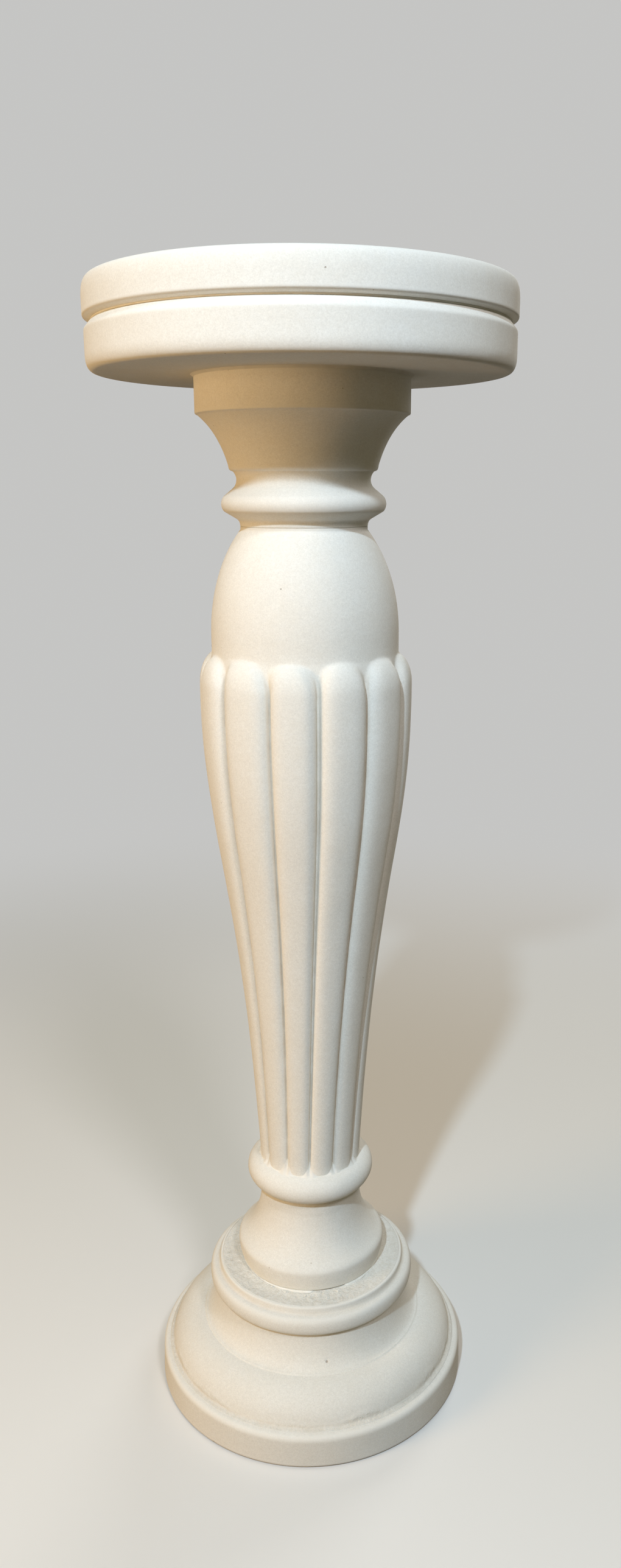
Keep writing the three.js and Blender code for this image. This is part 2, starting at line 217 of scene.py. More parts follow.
@dataclass
class Outline:
    """The outline of a turned piece, walked from its foot out, up the outside and back.

    The piece lies to the left of the walk. Every method that adds a stretch returns the outline,
    so that stretches can be chained.
    """

    points: list[RimPoint] = field(default_factory=list)

    def start(self, radius: float, height: float) -> Outline:
        """Sets the first point, which lies out of sight."""
        self.points = [RimPoint(radius, height, Surface.INSIDE)]
        return self

    def _walk(self, corners: Sequence[Vector], surface: Surface) -> Outline:
        """Adds points along straight pieces, no further apart than the surface asks.

        Args:
            corners: the corners of the stretch, of which the first is already there.
            surface: how the stretch was left.

        Returns:
            The outline.
        """
        for before, after in zip(corners, corners[1:]):
            length = (after - before).length
            if length < SAME_PLACE:
                continue
            count = max(1, math.ceil(length / surface.spacing))
            for i in range(1, count + 1):
                point = before.lerp(after, i / count)
                self.points.append(RimPoint(point[0], point[1], surface))
        return self

    def _last(self) -> Vector:
        """The point that the outline has reached."""
        return Vector((self.points[-1].radius, self.points[-1].height))

    def line(self, radius: float, height: float, surface: Surface = Surface.SANDED) -> Outline:
        """Adds a straight stretch to a point.

        Args:
            radius: the end's radius.
            height: the end's height.
            surface: how the stretch was left.

        Returns:
            The outline.
        """
        return self._walk([self._last(), Vector((radius, height))], surface)

    def lines(self, surface: Surface, *ends: Pair) -> Outline:
        """Adds straight stretches from point to point.

        Args:
            surface: how they were left.
            ends: the radius and height of each one's end.

        Returns:
            The outline.
        """
        for radius, height in ends:
            self.line(radius, height, surface)
        return self

    def sweep(
        self, first: Pair, second: Pair, end: Pair, surface: Surface = Surface.SANDED
    ) -> Outline:
        """Adds a curve that leaves towards one handle and arrives from another.

        Args:
            first: the handle that the curve leaves towards.
            second: the handle that it arrives from.
            end: where it ends.
            surface: how the stretch was left.

        Returns:
            The outline.
        """
        knots = [self._last(), Vector(first), Vector(second), Vector(end)]
        length = sum((b - a).length for a, b in zip(knots, knots[1:]))
        count = max(FEWEST_STEPS, math.ceil(length / surface.spacing)) + 1
        flat = [Vector((knot[0], knot[1], 0)) for knot in knots]
        return self._walk([p.to_2d() for p in interpolate_bezier(*flat, count)], surface)

    def round(self, corner: Pair, end: Pair, surface: Surface = Surface.SANDED) -> Outline:
        """Adds a curve that rounds off a corner.

        Args:
            corner: the corner.
            end: where the curve ends.
            surface: how the stretch was left.

        Returns:
            The outline.
        """
        start = self._last()
        handles = [knot.lerp(Vector(corner), 2 / 3) for knot in (start, Vector(end))]
        return self.sweep(tuple(handles[0]), tuple(handles[1]), end, surface)

    def arc(
        self, centre: Pair, size: Pair, turn: Pair, surface: Surface = Surface.SANDED
    ) -> Outline:
        """Adds part of a circle or an oval.

        Args:
            centre: its centre.
            size: its half width and half height.
            turn: the angles at which the part starts and ends, in degrees.
            surface: how the stretch was left.

        Returns:
            The outline.
        """
        span = math.radians(abs(turn[1] - turn[0]))
        count = max(FEWEST_STEPS, math.ceil(span * max(size) / surface.spacing))
        corners = [self._last()]
        for i in range(count + 1):
            angle = math.radians(mix(turn[0], turn[1], i / count))
            across, up = size[0] * math.cos(angle), size[1] * math.sin(angle)
            corners.append(Vector((centre[0] + across, centre[1] + up)))
        return self._walk(corners, surface)

    def soften(self, passes: int) -> Outline:
        """Wears the arrises of what shows, by drawing each point towards its neighbours.

        Args:
            passes: how many times it is done.

        Returns:
            The outline.
        """
        for _ in range(passes):
            old = [Vector((p.radius, p.height)) for p in self.points]
            for i in range(1, len(self.points) - 1):
                near = self.points[i - 1 : i + 2]
                if all(p.surface.worked and p.surface is not Surface.CRISP for p in near):
                    place = old[i].lerp((old[i - 1] + old[i + 1]) / 2, 0.5)
                    self.points[i].radius, self.points[i].height = place
        return self

    def mark_bends(self, reach: float = 4.0) -> Outline:
        """Notes at each point how the outline bends: 1 on an arris and -1 in a hollow.

        Args:
            reach: how far along the outline to look on either side, in millimetres.

        Returns:
            The outline.
        """
        places = [Vector((p.radius, p.height)) for p in self.points]
        for i, point in enumerate(self.points):
            ahead, behind = i, i
            while ahead < len(places) - 1 and (places[ahead] - places[i]).length < reach:
                ahead += 1
            while behind > 0 and (places[behind] - places[i]).length < reach:
                behind -= 1
            came, goes = places[i] - places[behind], places[ahead] - places[i]
            if came.length > SAME_PLACE and goes.length > SAME_PLACE:
                turned = math.atan2(came.cross(goes), came.dot(goes))
                point.bend = clamp(turned / FULL_BEND, -1.0, 1.0)
        return self


@dataclass
class Spot:
    """A vertex of a turned piece, as a carving step sees it."""

    angle: float
    radius: float
    height: float
    bend: float
    grit: float


Carve = Callable[[Spot], None]


@dataclass(frozen=True)
class Turning:
    """Turns outlines about the column's axis.

    Args:
        parts: how many equal parts of a turn are made and joined.
        sides: how many steps each part has.
    """

    parts: int = 12
    sides: int = 18

    def spin(self, outline: Outline) -> bmesh.types.BMesh:
        """Spins an outline once round.

        Args:
            outline: the outline, whose ends meet each other or the axis.

        Returns:
            The closed shell, in metres, with its bends and grit as vertex values.
        """
        shell = bmesh.new()
        layers = {name: shell.verts.layers.float.new(name) for name in (BEND, GRIT, WORKED)}
        rim = []
        for point in outline.points:
            vert = shell.verts.new((point.radius * MM, 0, point.height * MM))
            vert[layers[BEND]] = point.bend
            vert[layers[GRIT]] = point.surface.grit
            vert[layers[WORKED]] = point.surface.worked
            rim.append(vert)
        edges = [shell.edges.new(pair) for pair in zip(rim, rim[1:])]
        part = 2 * math.pi / self.parts
        about = {"cent": (0, 0, 0), "axis": (0, 0, 1)}
        bmesh.ops.spin(shell, geom=rim + edges, angle=part, steps=self.sides, **about)
        whole = shell.verts[:] + shell.edges[:] + shell.faces[:]
        bmesh.ops.spin(
            shell,
            geom=whole,
            angle=part * (self.parts - 1),
            steps=self.parts - 1,
            use_duplicate=True,
            **about,
        )
        bmesh.ops.remove_doubles(shell, verts=shell.verts, dist=SAME_PLACE * MM)
        bmesh.ops.recalc_face_normals(shell, faces=shell.faces)
        return shell


def carve(shell: bmesh.types.BMesh, step: Carve) -> None:
    """Moves the vertices that show, as a hand would work the surface.

    Args:
        shell: the turned piece.
        step: what is done to each vertex.
    """
    bend, grit, worked = (shell.verts.layers.float[name] for name in (BEND, GRIT, WORKED))
    for vert in shell.verts:
        if vert[worked] < 0.5:
            continue
        x, y, z = vert.co
        radius = math.hypot(x, y)
        if radius < MM:
            continue
        spot = Spot(
            math.degrees(math.atan2(x, -y)), radius / MM, z / MM, vert[bend], vert[grit]
        )
        step(spot)
        turn = math.radians(spot.angle)
        reach = spot.radius * MM
        vert.co = (reach * math.sin(turn), -reach * math.cos(turn), spot.height * MM)
        vert[bend] = spot.bend
        vert[grit] = spot.grit


def rub_down(spot: Spot, waves: Waves, share: float = 1.0) -> None:
    """Takes a little off a casting, unevenly.

    Args:
        spot: the vertex.
        waves: the unevenness that this leaves.
        share: how much of it, from 0 to 1.
    """
    for wave in waves:
        spot.radius -= share * (wave.depth + wave.at(spot.angle, spot.height))


def soften_shell(
    shell: bmesh.types.BMesh, passes: int, low: float, high: float, margin: float
) -> None:
    """Smooths what shows between two heights, less and less towards them.

    Args:
        shell: the shell, with its foot at height 0.
        passes: how many times it is smoothed.
        low: the lower height, in millimetres.
        high: the upper height.
        margin: how much each pass stays further inside the two heights.
    """
    worked = shell.verts.layers.float[WORKED]
    shown = [v for v in shell.verts if v[worked] > 0.5]
    for i in range(passes):
        floor, roof = (low + margin * i) * MM, (high - margin * i) * MM
        chosen = [v for v in shown if floor < v.co.z < roof]
        bmesh.ops.smooth_vert(
            shell, verts=chosen, factor=0.5, use_axis_x=True, use_axis_y=True, use_axis_z=True
        )


def lift(shell: bmesh.types.BMesh, height: float) -> None:
    """Raises a shell to its place on the column, by a height in millimetres."""
    bmesh.ops.translate(shell, verts=shell.verts, vec=(0, 0, height * MM))


def foot_of(node: str) -> float:
    """Height above the floor of a CAD node's lowest point, in millimetres."""
    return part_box(node)[0][2] / MM


def height_of(node: str) -> float:
    """Height of a CAD node from its foot to its top, in millimetres."""
    low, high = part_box(node)
    return (high[2] - low[2]) / MM


def mesh_from(shell: bmesh.types.BMesh, name: str) -> bpy.types.Mesh:
    """Makes a mesh from a shell, which it uses up.

    Args:
        shell: the shell.
        name: the mesh's name.

    Returns:
        The mesh.
    """
    mesh = bpy.data.meshes.new(name)
    shell.to_mesh(mesh)
    shell.free()
    return mesh


def put_in_scene(data: bpy.types.ID) -> bpy.types.Object:
    """Puts a mesh, lamp or camera into the scene as an object of the same name.

    Args:
        data: the mesh, lamp or camera.

    Returns:
        The object, at the origin.
    """
    thing = bpy.data.objects.new(data.name, data)
    bpy.context.scene.collection.objects.link(thing)
    return thing


def make_piece(
    shell: bmesh.types.BMesh, node: str, kind: str, material: bpy.types.Material
) -> bpy.types.Object:
    """Makes the piece that stands for a CAD node from a shell, which it uses up.

    Args:
        shell: the finished shell, in place.
        node: the CAD node.
        kind: the end of the piece's name.
        material: its finish.

    Returns:
        The piece.
    """
    values = shell.verts.layers.float
    values.remove(values[WORKED])
    for face in shell.faces:
        face.smooth = True
    mesh = mesh_from(shell, f"{node}_{kind}")
    mesh.set_sharp_from_angle(angle=HARD_CORNER)
    mesh.materials.append(material)
    piece = put_in_scene(mesh)
    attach(piece, BODY)
    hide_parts(node)
    log.info("%s: %d faces, stands for %s", piece.name, len(mesh.polygons), node)
    return piece


# ---- Finishes ----


@dataclass(frozen=True)
class Grain:
    """A cloudy pattern: clouds in a metre, finer layers, their strength, and relief in millimetres."""

    scale: float
    detail: float
    roughness: float
    relief: float = 0.0


class Recipe:
    """A node material that is put together step by step on Object coordinates."""

    def __init__(self, name: str) -> None:
        """Starts an empty material with one shader.

        Args:
            name: the material's name.
        """
        self.material = bpy.data.materials.new(name)
        self.material.use_nodes = True
        self.tree = self.material.node_tree
        self.tree.nodes.clear()
        self.shader = self.add("ShaderNodeBsdfPrincipled")
        output = self.add("ShaderNodeOutputMaterial")
        self.join(self.shader.outputs["BSDF"], output.inputs["Surface"])
        self.place = self.add("ShaderNodeTexCoord").outputs["Object"]

    def add(self, kind: str, **settings: object) -> bpy.types.Node:
        """Adds a node.

        Args:
            kind: the node's type.
            settings: its properties.

        Returns:
            The node.
        """
        node = self.tree.nodes.new(kind)
        for key, value in settings.items():
            setattr(node, key, value)
        return node

    def join(self, source: Socket, target: Socket) -> None:
        """Links an output to an input."""
        self.tree.links.new(source, target)

    def feed(self, target: Socket, value: Socket | float | Colour) -> None:
        """Gives an input a link or a plain value.

        Args:
            target: the input.
            value: what it gets.
        """
        if isinstance(value, bpy.types.NodeSocket):
            self.join(value, target)
        elif isinstance(value, tuple):
            target.default_value = (*value, 1.0)
        else:
            target.default_value = value

    def noise(self, grain: Grain) -> Socket:
        """Cloudy chance from about 0.2 to 0.8.

        Args:
            grain: the pattern.

        Returns:
            Its value.
        """
        node = self.add("ShaderNodeTexNoise")
        self.join(self.place, node.inputs["Vector"])
        self.feed(node.inputs["Scale"], grain.scale)
        self.feed(node.inputs["Detail"], grain.detail)
        self.feed(node.inputs["Roughness"], grain.roughness)
        return node.outputs[0]

    def cells(self, scale: float) -> tuple[Socket, Socket]:
        """Scattered points.

        Args:
            scale: points in a metre.

        Returns:
            The distance to the nearest point, in cells, and a number from 0 to 1 of its own.
        """
        node = self.add("ShaderNodeTexVoronoi")
        self.join(self.place, node.inputs["Vector"])
        self.feed(node.inputs["Scale"], scale)
        split = self.add("ShaderNodeSeparateColor")
        self.join(node.outputs["Color"], split.inputs["Color"])
        return node.outputs["Distance"], split.outputs["Red"]

    def attribute(self, name: str) -> Socket:
        """A value that the mesh carries at its vertices."""
        return self.add("ShaderNodeAttribute", attribute_name=name).outputs["Fac"]

    def sum(self, kind: str, first: Socket | float, second: Socket | float) -> Socket:
        """Works out one number from two.

        Args:
            kind: the operation.
            first: its first number.
            second: its second number.

        Returns:
            The result.
        """
        node = self.add("ShaderNodeMath", operation=kind)
        self.feed(node.inputs[0], first)
        self.feed(node.inputs[1], second)
        return node.outputs[0]

    def rise(self, value: Socket, low: float, high: float, top: float = 1.0) -> Socket:
        """Rises smoothly from 0 to top as value goes from low to high.

        Args:
            value: the value.
            low: where the rise starts.
            high: where it ends.
            top: what it rises to.

        Returns:
            The result.
        """
        node = self.add("ShaderNodeMapRange", interpolation_type="SMOOTHSTEP")
        if low > high:
            ends = (("From Min", high), ("From Max", low), ("To Min", top), ("To Max", 0.0))
        else:
            ends = (("From Min", low), ("From Max", high), ("To Min", 0.0), ("To Max", top))
        self.join(value, node.inputs["Value"])
        for key, end in ends:
            self.feed(node.inputs[key], end)
        return node.outputs["Result"]

    def spread(self, value: Socket, low: float, high: float) -> Socket:
        """Stretches a noise's usual range, 0.3 to 0.7, to run from low to high.

        Args:
            value: the noise.
            low: the value at its low end.
            high: the value at its high end.

        Returns:
            The result.
        """
        node = self.add("ShaderNodeMapRange")
        self.join(value, node.inputs["Value"])
        for key, end in zip(("From Min", "From Max", "To Min", "To Max"), (0.3, 0.7, low, high)):
            self.feed(node.inputs[key], end)
        return node.outputs["Result"]

    def blend(
        self, share: Socket | float, under: Socket | Colour, over: Socket | Colour, mode: str = "MIX"
    ) -> Socket:
        """Lays one colour over another.

        Args:
            share: how much of the upper one shows.
            under: the lower colour.
            over: the upper colour.
            mode: how they are mixed.

        Returns:
            The mixed colour.
        """
        node = self.add("ShaderNodeMix", data_type="RGBA", blend_type=mode)
        self.feed(node.inputs[0], share)
        self.feed(node.inputs[6], under)
        self.feed(node.inputs[7], over)
        return node.outputs[2]

    def emboss(self, *layers: tuple[Socket, float]) -> Socket:
        """Raises the surface's shading by several heights, each laid on the one before.

        Args:
            layers: for each, its height from 0 to 1, and what 1 is in millimetres.

        Returns:
            The shading normal.
        """
        normal = None
        for height, relief in layers:
            node = self.add("ShaderNodeBump")
            self.feed(node.inputs["Distance"], relief * MM)
            self.join(height, node.inputs["Height"])
            if normal is not None:
                self.join(normal, node.inputs["Normal"])
            normal = node.outputs["Normal"]
        return normal

    def finish(self, **values: Socket | float | Colour) -> bpy.types.Material:
        """Feeds the shader and closes the material.

        Args:
            values: what each of the shader's inputs gets, with _ for a space in its name.

        Returns:
            The material.
        """
        for key, value in values.items():
            self.feed(self.shader.inputs[key.replace("_", " ")], value)
        return self.material


def seen_plainly(tree: bpy.types.NodeTree) -> Socket:
    """Tells apart the rays that show a background from those that light the stand by it.

    Args:
        tree: the material's or the world's nodes.

    Returns:
        1 for rays from the camera, off a gloss or through something clear, and 0 for others.
    """
    path = tree.nodes.new("ShaderNodeLightPath")
    seen = path.outputs["Is Camera Ray"]
    for kind in ("Is Glossy Ray", "Is Transmission Ray"):
        most = tree.nodes.new("ShaderNodeMath")
        most.operation = "MAXIMUM"
        tree.links.new(seen, most.inputs[0])
        tree.links.new(path.outputs[kind], most.inputs[1])
        seen = most.outputs[0]
    return seen


@dataclass(frozen=True)
class CastPlaster:
    """Matt cast plaster that was rubbed down: cloudy, finely sanded, with a few pinholes. Its hollows
    carry painted shade mixed with dust, and its pinholes carry painted shade.
    """

    name: str = "cast_plaster"
    # Scales the plaster's brightness: partly a tone that differs between castings, partly painted light
    # and shade for how brightly each casting is lit.
    tone_and_painted_light: float = 1.0
    pale: Colour = (0.875, 0.872, 0.830)
    warm: Colour = (0.850, 0.826, 0.758)
    shade: Colour = (0.745, 0.728, 0.672)
    # Dust mixed with painted shade: the colour laid into hollows such as the reeds' grooves and
    # under-cut corners.
    dust_and_shade: Colour = (0.56, 0.49, 0.39)
    # Painted shade inside the pinholes and the larger pit.
    pit: Colour = (0.40, 0.34, 0.27)
    lump: Colour = (0.715, 0.685, 0.610)
    roughness: Pair = (0.80, 0.97)

    swell: Grain = Grain(26, 2, 0.4, 0.55)
    clouds: Grain = Grain(6.5, 3, 0.55)
    mottle: Grain = Grain(48, 5, 0.62, 0.12)
    stipple: Grain = Grain(170, 2, 0.5)
    grain: Grain = Grain(430, 3, 0.72, 0.085)
    sand: Grain = Grain(950, 2, 0.6, 0.04)
    coarse: Grain = Grain(260, 4, 0.75, 1.3)

    cloud_warmth: Pair = (0.0, 0.50)
    mottle_warmth: Pair = (-0.1, 0.4)
    stipple_warmth: Pair = (-0.12, 0.18)
    grain_shade: Pair = (0.0, 0.52)
    sanding: Pair = (0.945, 1.055)
    hollow_shade: tuple[float, float, float] = (-0.12, -1.9, 0.62)
    dust_and_shade_spread: Pair = (0.45, 1.0)
    arrises: tuple[float, float, float] = (0.25, 0.9, 0.5)
    rubbing: Pair = (0.3, 1.0)
    lumps: Pair = (0.56, 0.38)
    lump_tint: float = 0.55
    holes_per_metre: float = 58
    hole_size: Pair = (0.040, 0.022)
    hole_chance: Pair = (0.70, 0.72)
    hole_shade: float = 0.75
    hole_depth: float = 0.35
    flaw: tuple[float, float, float, float] = (13.3, -96.3, 68.0, 1.35)
    flaw_floor: float = 0.55

    def material(self) -> bpy.types.Material:
        """Builds the finish.

        Returns:
            The material.
        """
        mix_of = Recipe(self.name)
        clouds, mottle = mix_of.noise(self.clouds), mix_of.noise(self.mottle)
        stipple, grain = mix_of.noise(self.stipple), mix_of.noise(self.grain)
        sand, coarse = mix_of.noise(self.sand), mix_of.noise(self.coarse)
        bend, grit = mix_of.attribute(BEND), mix_of.attribute(GRIT)

        warmth = mix_of.spread(clouds, *self.cloud_warmth)
        warmth = mix_of.sum("ADD", warmth, mix_of.spread(mottle, *self.mottle_warmth))
        warmth = mix_of.sum("ADD", warmth, mix_of.spread(stipple, *self.stipple_warmth))
        colour = mix_of.blend(warmth, self.pale, self.warm)
        colour = mix_of.blend(mix_of.spread(grain, *self.grain_shade), colour, self.shade)
        # Brightens or darkens the whole casting, partly as painted light and shade.
        sanded = mix_of.spread(sand, *(self.tone_and_painted_light * end for end in self.sanding))
        colour = mix_of.blend(1.0, colour, sanded, "MULTIPLY")

        # Paints shade, with some dust, into the hollows that the mesh marks with a negative bend.
        dust_and_shade_share = mix_of.spread(mottle, *self.dust_and_shade_spread)
        dust_and_shade_share = mix_of.sum("MULTIPLY", mix_of.rise(bend, *self.hollow_shade), dust_and_shade_share)
        colour = mix_of.blend(dust_and_shade_share, colour, self.dust_and_shade)
        worn = mix_of.spread(grain, *self.rubbing)
        worn = mix_of.sum("MULTIPLY", mix_of.rise(bend, *self.arrises), worn)
        colour = mix_of.blend(worn, colour, self.pale)

        lumps = mix_of.sum("MULTIPLY", mix_of.rise(coarse, *self.lumps), grit)
        colour = mix_of.blend(mix_of.sum("MULTIPLY", lumps, self.lump_tint), colour, self.lump)
        holes = mix_of.sum("MAXIMUM", self.pinholes_in(mix_of), self.flaw_in(mix_of))
        # Paints shade into the pinholes and the larger pit, which the bump also sinks.
        colour = mix_of.blend(mix_of.sum("MULTIPLY", holes, self.hole_shade), colour, self.pit)

        normal = mix_of.emboss(
            (mix_of.noise(self.swell), self.swell.relief),
            (mottle, self.mottle.relief),
            (grain, self.grain.relief),
            (sand, self.sand.relief),
            (mix_of.sum("MULTIPLY", coarse, grit), self.coarse.relief),
            (mix_of.sum("SUBTRACT", 1.0, holes), self.hole_depth),
        )
        dull = mix_of.spread(mottle, *self.roughness)
        return mix_of.finish(
            Base_Color=colour, Roughness=dull, Normal=normal, Specular_IOR_Level=0.28
        )

    def pinholes_in(self, mix_of: Recipe) -> Socket:
        """Marks the pinholes that air left in the casting.

        Args:
            mix_of: the material that they are part of.

        Returns:
            1 in a pinhole and 0 around it.
        """
        near, own = mix_of.cells(self.holes_per_metre)
        few = mix_of.rise(own, *self.hole_chance)
        return mix_of.sum("MULTIPLY", mix_of.rise(near, *self.hole_size), few)

    def flaw_in(self, mix_of: Recipe) -> Socket:
        """Marks the one larger pinhole, in the front of the base.

        Args:
            mix_of: the material that it is part of.

        Returns:
            1 in the pinhole and 0 around it.
        """
        *place, size = self.flaw
        away = mix_of.add("ShaderNodeVectorMath", operation="DISTANCE")
        mix_of.join(mix_of.place, away.inputs[0])
        away.inputs[1].default_value = [value * MM for value in place]
        return mix_of.rise(away.outputs["Value"], size * MM, size * self.flaw_floor * MM)


@dataclass(frozen=True)
class JointFiller:
    """The softer, duller filler that closes the joints between castings."""

    name: str = "joint_filler"
    pale: Colour = (0.865, 0.858, 0.812)
    dull: Colour = (0.800, 0.780, 0.718)
    crumb: Colour = (0.66, 0.61, 0.53)
    patches: Grain = Grain(120, 4, 0.6, 0.5)
    sand: Grain = Grain(650, 4, 0.8, 0.18)
    roughness: Pair = (0.86, 0.99)

    def material(self) -> bpy.types.Material:
        """Builds the finish.

        Returns:
            The material.
        """
        mix_of = Recipe(self.name)
        patches, sand = mix_of.noise(self.patches), mix_of.noise(self.sand)
        colour = mix_of.blend(mix_of.spread(patches, 0.0, 0.8), self.pale, self.dull)
        colour = mix_of.blend(mix_of.rise(sand, 0.60, 0.75, 0.4), colour, self.crumb)
        return mix_of.finish(
            Base_Color=colour,
            Roughness=mix_of.spread(patches, *self.roughness),
            Normal=mix_of.emboss((patches, self.patches.relief), (sand, self.sand.relief)),
            Specular_IOR_Level=0.2,
        )


@dataclass(frozen=True)
class ZincPlate:
    """Bright zinc plate on steel, with cloudy crystals and faint handling marks."""

    name: str = "zinc_plate"
    bright: Colour = (0.60, 0.61, 0.62)
    blue: Colour = (0.50, 0.53, 0.57)
    stain: Colour = (0.40, 0.37, 0.31)
    clouds: Grain = Grain(90, 3, 0.6)
    marks: Grain = Grain(700, 5, 0.7, 0.02)
    roughness: Pair = (0.26, 0.46)

    def material(self) -> bpy.types.Material:
        """Builds the finish.

        Returns:
            The material.
        """
        mix_of = Recipe(self.name)
        clouds, marks = mix_of.noise(self.clouds), mix_of.noise(self.marks)
        colour = mix_of.blend(mix_of.spread(clouds, 0, 1), self.bright, self.blue)
        colour = mix_of.blend(mix_of.rise(marks, 0.62, 0.8, 0.5), colour, self.stain)
        return mix_of.finish(
            Base_Color=colour,
            Metallic=1.0,
            Roughness=mix_of.spread(marks, *self.roughness),
            Normal=mix_of.emboss((marks, self.marks.relief)),
        )


@dataclass(frozen=True)
class SleevePlastic:
    """Grey moulded plastic with a fine matt skin."""

    name: str = "sleeve_plastic_skin"
    grey: Colour = (0.27, 0.29, 0.31)
    scuffed: Colour = (0.36, 0.375, 0.39)
    skin: Grain = Grain(1400, 2, 0.5, 0.03)
    scuffs: Grain = Grain(140, 5, 0.7)
    roughness: Pair = (0.42, 0.62)

    def material(self) -> bpy.types.Material:
        """Builds the finish.

        Returns:
            The material.
        """
        mix_of = Recipe(self.name)
        skin, scuffs = mix_of.noise(self.skin), mix_of.noise(self.scuffs)
        colour = mix_of.blend(mix_of.rise(scuffs, 0.55, 0.75, 0.6), self.grey, self.scuffed)
        return mix_of.finish(
            Base_Color=colour,
            Roughness=mix_of.spread(scuffs, *self.roughness),
            Normal=mix_of.emboss((skin, self.skin.relief)),
        )


@dataclass(frozen=True)
class PressedFelt:
    """Dark pressed felt with loose fibres."""

    name: str = "pressed_felt"
    dark: Colour = (0.150, 0.135, 0.120)
    fibre: Colour = (0.27, 0.25, 0.225)
    fibres: Grain = Grain(900, 6, 0.8, 0.25)
    tufts: Grain = Grain(180, 4, 0.6, 0.5)

    def material(self) -> bpy.types.Material:
        """Builds the finish.

        Returns:
            The material.
        """
        mix_of = Recipe(self.name)
        fibres, tufts = mix_of.noise(self.fibres), mix_of.noise(self.tufts)
        colour = mix_of.blend(mix_of.rise(fibres, 0.45, 0.7, 0.8), self.dark, self.fibre)
        return mix_of.finish(
            Base_Color=colour,
            Roughness=0.97,
            Normal=mix_of.emboss((tufts, self.tufts.relief), (fibres, self.fibres.relief)),
            Sheen_Weight=0.35,
            Sheen_Roughness=0.6,
        )


@dataclass(frozen=True)
class Finishes:
    """The stand's materials, each made once."""

    plaster: bpy.types.Material
    base_plaster: bpy.types.Material
    shaft_plaster: bpy.types.Material
    filler: bpy.types.Material
    zinc: bpy.types.Material
    plastic: bpy.types.Material
    felt: bpy.types.Material

    @classmethod
    def mixed(cls) -> Finishes:
        """Builds every finish.

        Returns:
            The finishes.
        """
        return cls(
            plaster=CastPlaster().material(),
            # The base is painted a little darker, as shade, and the shaft a little lighter, as light;
            # partly also a tone that differs between castings.
            base_plaster=CastPlaster("base_plaster", tone_and_painted_light=0.975).material(),
            shaft_plaster=CastPlaster("shaft_plaster", tone_and_painted_light=1.02).material(),
            filler=JointFiller().material(),
            zinc=ZincPlate().material(),
            plastic=SleevePlastic().material(),
            felt=PressedFelt().material(),
        )


# ---- Castings ----


@dataclass(frozen=True)
class Core:
    """The bore through a casting, with a sleeve's socket at each end."""

    bore: float = 20.0
    socket: float = 24.0
    depth: float = 12.0

    def close(self, outline: Outline, top: float, edge: float) -> Outline:
        """Takes an outline from its top back down the bore to where it began.

        Args:
            outline: the outline, which has reached the casting's top.
            top: the casting's height.
            edge: the radius out to which the top is hidden in the joint.

        Returns:
            The closed outline.
        """
        outline.line(edge, top).line(self.socket, top, Surface.JOINT)
        return outline.lines(
            Surface.INSIDE,
            (self.socket, top - self.depth),
            (self.bore, top - self.depth),
            (self.bore, self.depth),
            (self.socket, self.depth),
            (self.socket, 0),
        )


@dataclass
class Casting:
    """A plaster casting, which is turned, worked by hand and stands for its CAD node.

    Args:
        node: its CAD node.
        turning: how finely it is turned.
        wear: the unevenness that rubbing down left in it.
    """

    node: str = ""
    turning: Turning = Turning()
    wear: Waves = ()

    def outline(self) -> Outline:
        """Draws the casting's section, which each kind of casting does in its own way."""
        raise NotImplementedError

    def work(self, spot: Spot) -> None:
        """Leaves the casting a little uneven.

        Args:
            spot: the vertex.
        """
        rub_down(spot, self.wear)

    def shell(self) -> bmesh.types.BMesh:
        """Turns the casting and works its surface.

        Returns:
            The shell, with its foot at height 0.
        """
        shell = self.turning.spin(self.outline())
        carve(shell, self.work)
        return shell

    def cast(self, plaster: bpy.types.Material) -> bpy.types.Object:
        """Makes the casting's piece, in its place.

        Args:
            plaster: its finish.

        Returns:
            The piece.
        """
        shell = self.shell()
        lift(shell, foot_of(self.node))
        return make_piece(shell, self.node, "casting", plaster)

    def build(self, finishes: Finishes) -> None:
        """Makes the casting in plain plaster.

        Args:
            finishes: the stand's materials.
        """
        self.cast(finishes.plaster)


